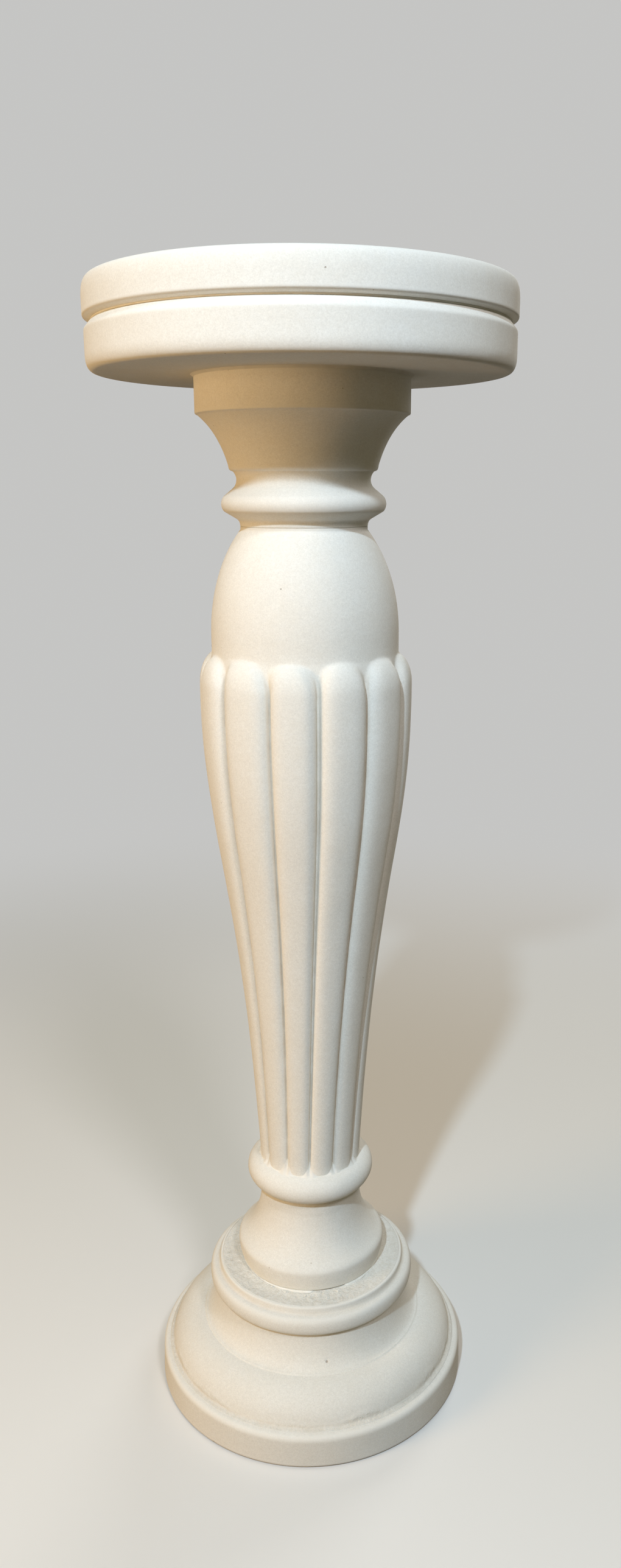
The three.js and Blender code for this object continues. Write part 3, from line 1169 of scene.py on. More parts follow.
@dataclass
class Base(Casting):
    """The round base: band, ledge, ovolo, ridge, scotia, lip and step, with the rod's pocket."""

    node: str = "base"
    turning: Turning = Turning(sides=30)
    wear: Waves = (Wave(0.20, 58, 2.1), Wave(0.10, 15, 7.7))
    band_radius: float = 147.5
    band_lean: float = 0.9
    band_foot: Pair = (2.0, 2.4)
    band_height: float = 24.5
    band_edge: float = 6.0
    ledge_fall: float = 1.5
    ledge_lumps: Waves = (Wave(0.42, 5, 4.2), Wave(0.294, 11, 6.2))
    ledge_sink: float = 0.18
    ovolo_radius: float = 136.5
    ovolo_height: float = 28.5
    smear: Pair = (12.0, 14.0)
    smear_patches: Wave = Wave(1.3, 21, 9.4)
    smear_lumps: Wave = Wave(0.5, 5, 14.2)
    ridge_radius: float = 105.5
    ridge_step: float = 0.9
    scotia_height: float = 33.5
    throat_radius: float = 91.5
    lip_radius: float = 98.6
    lip_height: float = 18.2
    lip_root: float = 2.6
    step_radius: float = 89.2
    step_height: float = 6.6
    step_edge: float = 2.2
    skirt_foot: float = 67.0
    skirt_cover: float = 2.0
    pocket_radius: float = 45.0
    web: float = 25.0
    socket_radius: float = Core.socket
    socket_depth: float = Core.depth
    rod_hole: float = 7.0
    pad_ring: float = 115.5
    pad_seat: Pair = (14.4, 3.0)
    pit: tuple[float, float, float] = (7.9, 68.0, 1.8)
    pit_depth: float = 1.1

    @property
    def ledge_height(self) -> float:
        """Height of the ledge where it meets the ovolo."""
        return self.band_height + self.band_edge + self.ledge_fall

    @property
    def height(self) -> float:
        """Height of the casting."""
        stretches = (self.band_height, self.band_edge, self.ledge_fall, self.ovolo_height)
        return sum(stretches) + self.scotia_height + self.lip_height + self.step_height

    def outline(self) -> Outline:
        """Draws the base's section.

        Returns:
            The closed outline.
        """
        foot, top = self.band_radius, self.band_radius - self.band_lean
        z = self.band_height
        out = Outline().start(self.pocket_radius, 0)
        inset, rise = self.band_foot
        out.line(foot - inset, 0, Surface.FLAT).round((foot, 0), (foot, rise)).line(top, z)
        z += self.band_edge
        out.round((top, z), (top - self.band_edge, z))
        z += self.ledge_fall
        out.line(self.ovolo_radius, z, Surface.ROUGH)
        rise = z + self.ovolo_height - self.ridge_step
        middle = (self.ridge_radius + self.ovolo_radius) / 2
        out.sweep(
            (self.ovolo_radius, z + self.ovolo_height / 2), (middle, rise), (self.ridge_radius, rise)
        )
        z += self.ovolo_height
        inner = self.ridge_radius - self.ridge_step
        out.line(inner, z, Surface.CRISP)
        out.sweep(
            ((inner + self.throat_radius) / 2, z),
            (self.throat_radius, z + self.scotia_height / 2),
            (self.throat_radius, z + self.scotia_height),
        )
        z += self.scotia_height
        out.round((self.lip_radius, z), (self.lip_radius, z + self.lip_height / 2))
        z += self.lip_height
        out.round((self.lip_radius, z), (self.step_radius + self.lip_root, z))
        out.round((self.step_radius, z), (self.step_radius, self.height - self.step_edge))
        out.round((self.step_radius, self.height), (self.step_radius - self.step_edge, self.height))
        out.line(self.skirt_foot - self.skirt_cover, self.height, Surface.ROUGH)
        out.line(self.socket_radius, self.height, Surface.JOINT)
        floor, roof = self.height - self.socket_depth, self.height - self.web
        out.lines(
            Surface.INSIDE,
            (self.socket_radius, floor),
            (self.rod_hole, floor),
            (self.rod_hole, roof),
            (self.pocket_radius, roof),
            (self.pocket_radius, 0),
        )
        return out.soften(1).mark_bends()

    def work(self, spot: Spot) -> None:
        """Leaves the base a little uneven, its ledge rough, and one small pit in front.

        Args:
            spot: the vertex.
        """
        rub_down(spot, self.wear)
        if spot.grit > 0.5:
            small, large = self.ledge_lumps
            spot.height += small.at(spot.angle, spot.radius) + large.at(spot.angle, 0)
            spot.height -= self.ledge_sink
        above = spot.height - self.ledge_height
        inward, upward = self.smear
        if 0 < above < upward and spot.radius > self.ovolo_radius - inward:
            patch = self.smear_patches.at(spot.angle, spot.height)
            rough = clamp(0.9 - 2 * above / upward + patch)
            spot.grit = max(spot.grit, rough)
            spot.radius += rough * self.smear_lumps.at(spot.angle, spot.height)
        angle, height, size = self.pit
        away = math.hypot(math.radians(spot.angle - angle) * spot.radius, spot.height - height)
        dip = ease(away, size, 0.0)
        spot.radius -= self.pit_depth * dip
        # Marks the pit as a hollow, so the plaster paints shade with some dust into it.
        spot.bend = mix(spot.bend, -1.0, dip)

    def seat_pads(self, piece: bpy.types.Object) -> None:
        """Cuts the seats of the four floor pads into the underside.

        Args:
            piece: the base.
        """
        radius, depth = self.pad_seat
        cutters = bmesh.new()
        for i in range(4):
            turn = math.radians(45 + 90 * i)
            place = (self.pad_ring * math.cos(turn), self.pad_ring * math.sin(turn), 0)
            bmesh.ops.create_cone(
                cutters,
                cap_ends=True,
                segments=48,
                radius1=radius * MM,
                radius2=radius * MM,
                depth=2 * depth * MM,
                matrix=Matrix.Translation(Vector(place) * MM),
            )
        lift(cutters, foot_of(self.node))
        seats = mesh_from(cutters, "pad_seats")
        cutter = put_in_scene(seats)
        cut = piece.modifiers.new("pad_seats", "BOOLEAN")
        cut.operation, cut.solver, cut.object = "DIFFERENCE", "MANIFOLD", cutter
        ready = piece.evaluated_get(bpy.context.evaluated_depsgraph_get())
        seated = bpy.data.meshes.new_from_object(ready)
        piece.modifiers.clear()
        piece.data = seated
        bpy.data.objects.remove(cutter)
        bpy.data.meshes.remove(seats)

    def build(self, finishes: Finishes) -> None:
        """Makes the base in its own plaster, with seats for its pads.

        Args:
            finishes: the stand's materials.
        """
        self.seat_pads(self.cast(finishes.base_plaster))


@dataclass
class Foot(Casting):
    """Skirt with its hollow flare, neck, and the torus that the shaft stands on."""

    node: str = "foot"
    turning: Turning = Turning(sides=14)
    wear: Waves = (Wave(0.22, 46, 12.3), Wave(0.07, 12, 3.3))
    skirt_foot: float = Base.skirt_foot
    skirt_radius: float = 70.3
    skirt_band: float = 18.0
    skirt_edge: float = 2.6
    neck_radius: float = 47.6
    flare_height: float = 44.4
    flare_hold: float = 28.0
    torus_centre: Pair = (46.7, 93.6)
    torus_size: float = 13.2
    torus_start: float = -86.1
    reed_foot: float = 44.0
    tuck: float = 3.0
    core: Core = Core()

    @property
    def height(self) -> float:
        """Height of the casting."""
        return self.torus_centre[1] + self.torus_size

    def outline(self) -> Outline:
        """Draws the foot's section.

        Returns:
            The closed outline.
        """
        out = Outline().start(self.core.socket, 0)
        out.line(self.skirt_foot - self.tuck, 0, Surface.JOINT).line(self.skirt_foot, 0)
        out.round((self.skirt_radius, self.skirt_band / 2), (self.skirt_radius, self.skirt_band))
        z = self.skirt_band + self.skirt_edge
        out.round((self.skirt_radius, z), (self.skirt_radius - self.skirt_edge, z + self.skirt_edge))
        z += self.flare_height
        corner = (self.neck_radius + self.skirt_edge, z - self.flare_hold)
        out.round(corner, (self.neck_radius, z))
        size = (self.torus_size, self.torus_size)
        out.arc(self.torus_centre, size, (self.torus_start, 90))
        self.core.close(out, self.height, self.reed_foot)
        return out.soften(1).mark_bends()


@dataclass
class Shaft(Casting):
    """Twelve reeds with rounded tops, and the plain dome that rises out of them."""

    node: str = "shaft"
    turning: Turning = Turning(parts=12, sides=26)
    wear: Waves = (Wave(0.20, 50, 31.0), Wave(0.06, 13, 17.0))
    reeds: int = 12
    groove_turn: float = 6.0
    strays: tuple[float, ...] = (0.7, -0.3, 0.3, 0, 0.5, -0.5, 0.5, -0.5, 0, 1, 2.5, 3.5)
    lean: Wave = Wave(0.35, 120, 5.9)
    twist: float = 8.0
    twist_top: float = 371.0
    foot_radius: float = 47.9
    foot_depth: float = 4.3
    foot_tuck: float = 6.0
    belly_radius: float = 91.9
    belly_depth: float = 9.0
    reed_height: float = 453.0
    foot_handle: Pair = (62.7, 289.0)
    belly_handle: Pair = (92.7, 310.0)
    groove_width: float = 0.07
    groove_shade: float = -2.1
    fullness: Pair = (2.15, 3.5)
    fullness_reach: float = 240.0
    arch: float = 2.7
    shoulder: float = 27.0
    shoulder_corner: float = 18.0
    height_spread: float = 1.4
    spread_from: float = 300.0
    smoothed: Pair = (3.0, 16.0)
    smoothing: int = 7
    smoothing_margin: float = 2.0
    dome_radius: float = 80.1
    dome_foot: float = 15.0
    dome_rise: float = 115.5
    dome_fade: Pair = (6.0, 20.0)
    neck_radius: float = 53.4
    neck_height: float = 1.4
    neck_tuck: float = 2.0
    crowding: float = 1.7
    core: Core = Core()

    @property
    def pitch(self) -> float:
        """Angle from one groove to the next."""
        return 360 / self.reeds

    @property
    def dome_turn(self) -> float:
        """Angle of the dome's oval at which its neck starts, in degrees."""
        return math.degrees(math.acos(self.neck_radius / self.dome_radius))

    @property
    def shoulder_top(self) -> float:
        """Height at which a reed's rounded top meets the dome."""
        return self.reed_height + self.shoulder

    @property
    def height(self) -> float:
        """Height of the casting."""
        dome = self.dome_rise * math.sin(math.radians(self.dome_turn))
        return self.shoulder_top + self.dome_foot + dome + self.neck_height

    def outline(self) -> Outline:
        """Draws the section along a reed's crest.

        Returns:
            The closed outline.
        """
        belly = (self.belly_radius, self.reed_height)
        out = Outline().start(self.core.socket, 0)
        out.line(self.foot_radius - self.foot_tuck, 0, Surface.JOINT).line(self.foot_radius, 0)
        out.sweep(self.foot_handle, self.belly_handle, belly, Surface.REEDED)
        corner = (self.belly_radius, self.reed_height + self.shoulder_corner)
        out.round(corner, (self.dome_radius, self.shoulder_top))
        start = self.shoulder_top + self.dome_foot
        out.line(self.dome_radius, start)
        size = (self.dome_radius, self.dome_rise)
        out.arc((0, start), size, (0, self.dome_turn), Surface.DOMED)
        out.line(self.neck_radius, self.height)
        self.core.close(out, self.height, self.neck_radius - self.neck_tuck)
        return out.mark_bends()

    def reed_radius(self, crest: float, height: float, share: float) -> tuple[float, float]:
        """Radius of the reeded surface.

        Args:
            crest: the radius on the crest, at this height.
            height: height above the shaft's foot.
            share: 0 on the crest and 1 in the groove.

        Returns:
            The radius, and how far the point lies down the reed's side, from 0 to 1.
        """
        depth = mix(self.foot_depth, self.belly_depth, min(1.0, height / self.reed_height))
        over = clamp((height - self.reed_height) / self.shoulder)
        groove = crest - depth
        if over > 0:
            groove = mix(self.belly_radius - depth, self.dome_radius, over)
        half = (1 - self.groove_width) * (1 - over**self.arch) ** (1 / self.arch)
        part = min(1.0, share / half) if half > 0 else 1.0
        full = mix(*self.fullness, ease(height, 0, self.fullness_reach))
        fall = 1 - math.sqrt(max(0.0, 1 - part**full))
        return mix(crest, groove, fall), fall

    def drift(self, height: float) -> float:
        """How far the reeds have wandered round the shaft by a height, in degrees."""
        return -self.twist * max(0.0, 1 - height / self.twist_top) ** 1.5

    def reed_at(self, angle: float) -> tuple[int, float]:
        """Finds the reed at an angle.

        Args:
            angle: angle around the column, in degrees.

        Returns:
            The reed's number, and where in it the angle lies, from -1 to 1.
        """
        turns = (angle - self.groove_turn) / self.pitch
        number = math.floor(turns)
        return number % self.reeds, 2 * (turns - number) - 1

    def carved_reed_at(self, angle: float, height: float) -> tuple[int, float]:
        """Finds the reed at an angle once the reeds have been carved.

        Args:
            angle: angle around the column, in degrees.
            height: height above the shaft's foot, below the reeds' tops.

        Returns:
            The reed's number, and where in it the angle lies, from -1 to 1.
        """
        turned = (angle - self.groove_turn - self.drift(height)) % 360
        for number in range(-1, self.reeds + 1):
            left = number * self.pitch + self.strays[number % self.reeds]
            right = (number + 1) * self.pitch + self.strays[(number + 1) % self.reeds]
            if left <= turned < right:
                return number % self.reeds, 2 * (turned - left) / (right - left) - 1
        return 0, 0.0

    def work(self, spot: Spot) -> None:
        """Carves the reeds, each a little different, and leaves the dome slightly uneven.

        Args:
            spot: the vertex.
        """
        if spot.height <= self.shoulder_top:
            number, across = self.reed_at(spot.angle)
            crowded = 1 - (1 - abs(across)) ** self.crowding
            spot.angle += (math.copysign(crowded, across) - across) * self.pitch / 2
            share = (1 + math.copysign(crowded, across)) / 2
            sides = self.strays[number], self.strays[(number + 1) % self.reeds]
            fixed = ease(spot.height, self.shoulder_top, self.reed_height)
            spot.angle += fixed * (mix(*sides, share) + self.drift(spot.height))
            taller = self.height_spread * (chance(number + 0.5) - 0.5)
            height = spot.height - taller * ease(spot.height, self.spread_from, self.reed_height)
            spot.radius, fall = self.reed_radius(spot.radius, height, crowded)
            over = ease(spot.height, self.reed_height, self.shoulder_top)
            # Marks the grooves' bottoms as deep hollows, so the plaster paints shade with some dust into
            # them.
            spot.bend = mix(self.groove_shade * ease(fall, 0.5, 1.0), 0.0, over)
            spot.angle += self.lean.at(number * self.pitch, spot.height) * (1 - crowded)
        else:
            low, high = self.dome_fade
            # Fades those hollow marks, and with them the painted shade, on the dome above the reeds'
            # tops.
            spot.bend *= ease(spot.height, self.shoulder_top + low, self.shoulder_top + high)
        rub_down(spot, self.wear)

    def shell(self) -> bmesh.types.BMesh:
        """Turns the shaft from a groove on, carves it, and smooths the reeds' tops into the dome.

        Returns:
            The shell, with its foot at height 0.
        """
        shell = self.turning.spin(self.outline())
        start = Matrix.Rotation(math.radians(self.groove_turn), 3, "Z")
        bmesh.ops.rotate(shell, verts=shell.verts, cent=(0, 0, 0), matrix=start)
        carve(shell, self.work)
        low, high = self.reed_height - self.smoothed[0], self.shoulder_top + self.smoothed[1]
        soften_shell(shell, self.smoothing, low, high, self.smoothing_margin)
        return shell

    def build(self, finishes: Finishes) -> None:
        """Makes the shaft in its own plaster.

        Args:
            finishes: the stand's materials.
        """
        self.cast(finishes.shaft_plaster)


@dataclass
class Capital(Casting):
    """Neck, ring, cove, small lip, hollow flare and the plain round block."""

    node: str = "capital"
    turning: Turning = Turning(sides=14)
    wear: Waves = (Wave(0.18, 52, 41.0), Wave(0.06, 13, 23.0))
    neck_radius: float = Shaft.neck_radius
    neck_height: float = 6.1
    neck_spread: float = 2.8
    ring_radius: float = 66.8
    ring_under: float = 6.2
    ring_nose: Pair = (4.0, 11.8)
    ring_over: Pair = (8.8, 7.4)
    cove_pull: float = 4.6
    cove_height: float = 12.8
    lip_start: float = 0.6
    lip_size: Pair = (3.6, 4.2)
    flare_size: Pair = (24.5, 40.0)
    flare_pull: Pair = (7.7, 26.8)
    block_edge: float = 1.6
    block_height: float = 27.9
    tuck: float = 3.0
    core: Core = Core()

    def outline(self) -> Outline:
        """Draws the capital's section.

        Returns:
            The closed outline.
        """
        neck, spread = self.neck_radius, self.neck_radius + self.neck_spread
        z = self.neck_height
        out = Outline().start(self.core.socket, 0)
        out.line(neck - self.tuck, 0, Surface.JOINT).line(neck, 0)
        out.round((neck, z - self.neck_spread / 2), (spread, z))
        z += self.ring_under
        out.line(self.ring_radius, z)
        nose, nose_height = self.ring_nose
        middle = (self.ring_radius + nose, z + nose_height / 2)
        out.round(middle, (self.ring_radius, z + nose_height))
        z += nose_height + self.ring_over[1]
        cove = self.ring_radius - self.ring_over[0]
        out.line(cove, z)
        lip = cove + self.lip_start
        out.round((cove - self.cove_pull, z + self.cove_height / 2), (lip, z + self.cove_height))
        z += self.cove_height
        lip_radius = lip + self.lip_size[0]
        out.round((lip_radius, z), (lip_radius, z + self.lip_size[1]))
        z += self.lip_size[1]
        flare = lip_radius + self.flare_size[0]
        out.round(
            (lip_radius + self.flare_pull[0], z + self.flare_pull[1]),
            (flare, z + self.flare_size[1]),
        )
        z += self.flare_size[1]
        block = flare + self.block_edge
        out.round((block, z), (block, z + self.block_edge))
        top = z + self.block_edge + self.block_height
        out.line(block, top)
        self.core.close(out, top, block - self.tuck)
        return out.soften(1).mark_bends()


@dataclass
class Table:
    """The two slabs of the round table, with the groove between them."""

    turning: Turning = Turning(sides=20)
    wear: Waves = (Wave(0.24, 64, 51.0), Wave(0.07, 16, 27.0))
    worn_rim: float = 12.0
    radius: float = 172.8
    upper_height: float = 30.0
    upper_edge: Pair = (6.0, 16.0)
    groove_radius: float = 166.8
    groove_tuck: float = 4.0
    upper_bevel: float = 2.2
    lower_radius: float = 172.0
    lower_height: float = 36.9
    lower_edge: Pair = (7.0, 12.0)
    lower_bevel: float = 6.4
    seat_radius: float = 84.0
    socket: Pair = (Core.socket, 6.0)
    rod_hole: float = Base.rod_hole
    pocket: Pair = (32.0, 16.5)

    def upper_outline(self) -> Outline:
        """Draws the upper slab's section.

        Returns:
            The closed outline.
        """
        out = Outline().start(0, 0)
        out.line(self.groove_radius - self.groove_tuck, 0, Surface.JOINT).line(self.groove_radius, 0)
        out.line(self.radius, self.upper_bevel)
        out.line(self.radius, self.upper_height - self.upper_edge[1])
        inner = self.radius - self.upper_edge[0]
        out.round((self.radius, self.upper_height), (inner, self.upper_height))
        out.line(0, self.upper_height, Surface.FLAT)
        return out.soften(1).mark_bends()

    def lower_outline(self) -> Outline:
        """Draws the lower slab's section.

        Returns:
            The closed outline.
        """
        edge, rise = self.lower_edge
        socket, step = self.socket
        out = Outline().start(socket, 0).line(self.seat_radius, 0, Surface.JOINT)
        out.line(self.lower_radius - edge, 0, Surface.FLAT)
        out.round((self.lower_radius, 0), (self.lower_radius, rise))
        out.line(self.lower_radius, self.lower_height - self.lower_bevel)
        out.line(self.groove_radius, self.lower_height)
        out.line(self.groove_radius - self.groove_tuck, self.lower_height)
        pocket, depth = self.pocket
        out.line(pocket, self.lower_height, Surface.JOINT)
        out.lines(
            Surface.INSIDE,
            (pocket, self.lower_height - depth),
            (self.rod_hole, self.lower_height - depth),
            (self.rod_hole, step),
            (socket, step),
            (socket, 0),
        )
        return out.soften(1).mark_bends()

    def work(self, spot: Spot) -> None:
        """Leaves a slab's rim a little uneven, and its faces true.

        Args:
            spot: the vertex.
        """
        inner = self.groove_radius - self.worn_rim
        rub_down(spot, self.wear, ease(spot.radius, inner, self.groove_radius))

    def build(self, finishes: Finishes) -> None:
        """Makes both slabs.

        Args:
            finishes: the stand's materials.
        """
        slabs = {"lower_slab": self.lower_outline(), "upper_slab": self.upper_outline()}
        for node, outline in slabs.items():
            shell = self.turning.spin(outline)
            carve(shell, self.work)
            lift(shell, foot_of(node))
            make_piece(shell, node, "casting", finishes.plaster)


# ---- Joints ----


@dataclass
class Bed:
    """A bed of filler: its CAD node, its hole, where its rim goes back in, its rim and its carving."""

    node: str
    hole: float
    inner: float
    rim: list[Pair]
    work: Carve | None = None


@dataclass
class JointFillers:
    """The beds between the castings, with the filler that shows at each joint."""

    turning: Turning = Turning(sides=24)
    thickness: float = 1.2
    hole: float = 26.0
    tuck: float = 3.0
    skirt_radius: float = Foot.skirt_foot
    bead: Pair = (1.1, 0.9)
    bead_inset: Pair = (0.4, -0.8)
    bead_lumps: Waves = (Wave(1.0, 7, 1.3), Wave(0.7, 3, 8.1))
    bead_unevenness: Pair = (0.45, 0.25)
    bead_reach: Pair = (22.0, 70.0)
    bead_thinning: float = 0.75
    crack: Pair = (2.0, 27.0)
    crack_end: float = 3.0
    crack_depth: float = 1.2
    crack_height: float = 0.35
    collar_foot: Pair = (51.6, -1.25)
    collar_hem: Wave = Wave(0.6, 16, 4.9)
    collar_top: float = 2.8
    collar_rows: int = 12
    collar_tuck: float = 2.0
    collar_rise: float = 1.1
    collar_swell: Wave = Wave(0.35, 7, 8.8)
    collar_lip: float = 0.9
    collar_lumps: Wave = Wave(0.25, 5, 2.7)
    peaks: tuple[float, ...] = (13, 10.5, 12, 9.5, 12.5, 10, 11, 13.5, 10.5, 12, 13, 17)
    peak_foot: float = 0.15
    peak_curve: float = 1.8
    reed_groove_radius: float = 43.6
    reed_spread: Pair = (1.2, 14.0)
    neck_radius: float = Shaft.neck_radius
    neck_inset: float = 0.25
    block_radius: float = 88.3
    soffit_fillet: float = 2.2
    pocket_hole: float = 34.0
    groove_radius: float = Table.groove_radius
    groove_inset: float = 0.5
    crumbs: int = 14
    crumb_size: Pair = (0.35, 1.0)
    crumb_spread: Pair = (8.0, 6.0)
    crumb_reach: Pair = (1.5, 9.0)
    crumb_knock: float = 0.3
    crumb_flatness: float = 0.7
    shaft: Shaft = field(default_factory=Shaft)

    def ring(self, hole: float, inner: float, rim: Sequence[Pair]) -> Outline:
        """Draws a bed's section, with a shaped rim.

        Args:
            hole: radius of the hole in the bed.
            inner: radius at which the rim goes back into the joint.
            rim: the rim's corners, from the bed's underside up.

        Returns:
            The closed outline.
        """
        out = Outline().start(hole, 0).line(inner, 0, Surface.JOINT)
        for corner in rim:
            out.line(*corner)
        out.line(inner, self.thickness, Surface.JOINT).line(hole, self.thickness, Surface.JOINT)
        return out.line(hole, 0, Surface.INSIDE).mark_bends()

    def skirt_bead(self, spot: Spot) -> None:
        """Makes the skirt's bead lumpy, thinner away from the crack, and gone in the crack.

        Args:
            spot: the vertex.
        """
        small, fine = self.bead_lumps
        lumps = small.at(spot.angle, spot.height) + fine.at(spot.angle, 0)
        first, last = self.crack
        gone = ease(spot.angle, first - self.crack_end, first)
        gone *= ease(spot.angle, last + self.crack_end, last)
        away = abs((spot.angle - (first + last) / 2 + 180) % 360 - 180)
        thin = self.bead_thinning * ease(away, *self.bead_reach)
        outward = max(0.0, spot.radius - self.skirt_radius + 1)
        across, up = self.bead_unevenness
        spot.radius += (1 - thin) * across * lumps * min(1.0, outward)
        spot.radius -= max(gone * (outward + self.crack_depth), thin * outward)
        spot.height *= mix((1 - thin) * (1 + up * lumps), self.crack_height, gone)

    def collar_rim(self) -> list[Pair]:
        """Draws the collar's rim as a ladder of rows, which the carving pulls into shape.

        Returns:
            Its corners, from the torus up to the reeds.
        """
        foot, low = self.collar_foot
        shares = [i / self.collar_rows for i in range(self.collar_rows + 1)]
        return [(mix(foot, self.reed_groove_radius, t), mix(low, self.collar_top, t)) for t in shares]

    def reed_collar(self, spot: Spot) -> None:
        """Lays the filler as a cove round the reeds' feet, drawn up to a peak in each groove.

        Args:
            spot: the vertex.
        """
        shaft = self.shaft
        foot, low = self.collar_foot
        up = clamp((spot.height - low) / (self.collar_top - low))
        number, across = shaft.carved_reed_at(spot.angle, 4)
        side = (number if across < 0 else number + 1) % shaft.reeds
        near = abs(across)
        peak = self.peaks[side] * ease(near, self.peak_foot, 1.0) ** self.peak_curve
        top = self.collar_rise + peak + self.collar_swell.at(spot.angle, 0)
        height = mix(low, top, up**1.5)
        wider, reach = self.reed_spread
        crest = mix(shaft.foot_radius, shaft.foot_radius + wider, clamp(height / reach))
        wall, _ = shaft.reed_radius(crest, max(0.0, height), near)
        lip = wall - self.collar_lip + self.collar_lumps.at(spot.angle, height)
        hem = foot - self.collar_hem.at(spot.angle, 0) - self.collar_hem.depth
        spot.radius = mix(lip, hem, (1 - up) ** 1.7)
        spot.height = height

    def scatter_crumbs(self, shell: bmesh.types.BMesh) -> None:
        """Leaves crumbs of filler on the step, beside the crack.

        Args:
            shell: the bead's shell, which the crumbs join.
        """
        before, past = self.crumb_spread
        nearest, spread = self.crumb_reach
        for i in range(self.crumbs):
            turn = math.radians(mix(self.crack[0] - before, self.crack[1] + past, chance(i + 0.25)))
            away = self.skirt_radius + nearest + spread * chance(i + 20.5) ** 2
            size = mix(*self.crumb_size, chance(i + 40.5) ** 2)
            place = Vector((away * math.sin(turn), -away * math.cos(turn), size * 0.35)) * MM
            made = bmesh.ops.create_icosphere(
                shell, subdivisions=2, radius=size * MM, matrix=Matrix.Translation(place)
            )
            for vert in made["verts"]:
                knock = self.crumb_knock * noise.noise(vert.co / (size * MM) + Vector((i, 0, 0)))
                vert.co = place + (vert.co - place) * (1 + knock)
                vert.co.z = place.z + (vert.co.z - place.z) * self.crumb_flatness

    def beds(self) -> list[Bed]:
        """Lists the five beds, from the base up.

        Returns:
            The beds.
        """
        out, up = self.bead
        skirt, thick = self.skirt_radius, self.thickness
        rise, back = self.bead_inset
        block = self.block_radius
        neck, groove = self.neck_radius - self.neck_inset, self.groove_radius - self.groove_inset
        bead = [(skirt + out, 0), (skirt + out * 0.9, up * 0.45), (skirt + rise, up), (skirt + back, up)]
        soffit = [(block - 0.2, -0.9), (block + 0.5, -0.1), (block + self.soffit_fillet, thick)]
        collar_inner = self.reed_groove_radius - self.collar_tuck
        neck_inner, groove_inner = self.neck_radius - self.tuck, self.groove_radius - self.tuck
        return [
            Bed("foot_mortar", self.hole, skirt - self.tuck, bead, self.skirt_bead),
            Bed("shaft_mortar", self.hole, collar_inner, self.collar_rim(), self.reed_collar),
            Bed("capital_mortar", self.hole, neck_inner, [(neck, 0), (neck, thick)]),
            Bed("slab_mortar", self.hole, block - self.tuck, soffit),
            Bed("top_adhesive", self.pocket_hole, groove_inner, [(groove, 0), (groove, thick)]),
        ]

    def build(self, finishes: Finishes) -> None:
        """Makes the five beds.

        Args:
            finishes: the stand's materials.
        """
        for bed in self.beds():
            shell = self.turning.spin(self.ring(bed.hole, bed.inner, bed.rim))
            if bed.work:
                carve(shell, bed.work)
            if bed.node == "foot_mortar":
                self.scatter_crumbs(shell)
            lift(shell, foot_of(bed.node))
            make_piece(shell, bed.node, "fillet", finishes.filler)


# ---- What holds the stack together ----


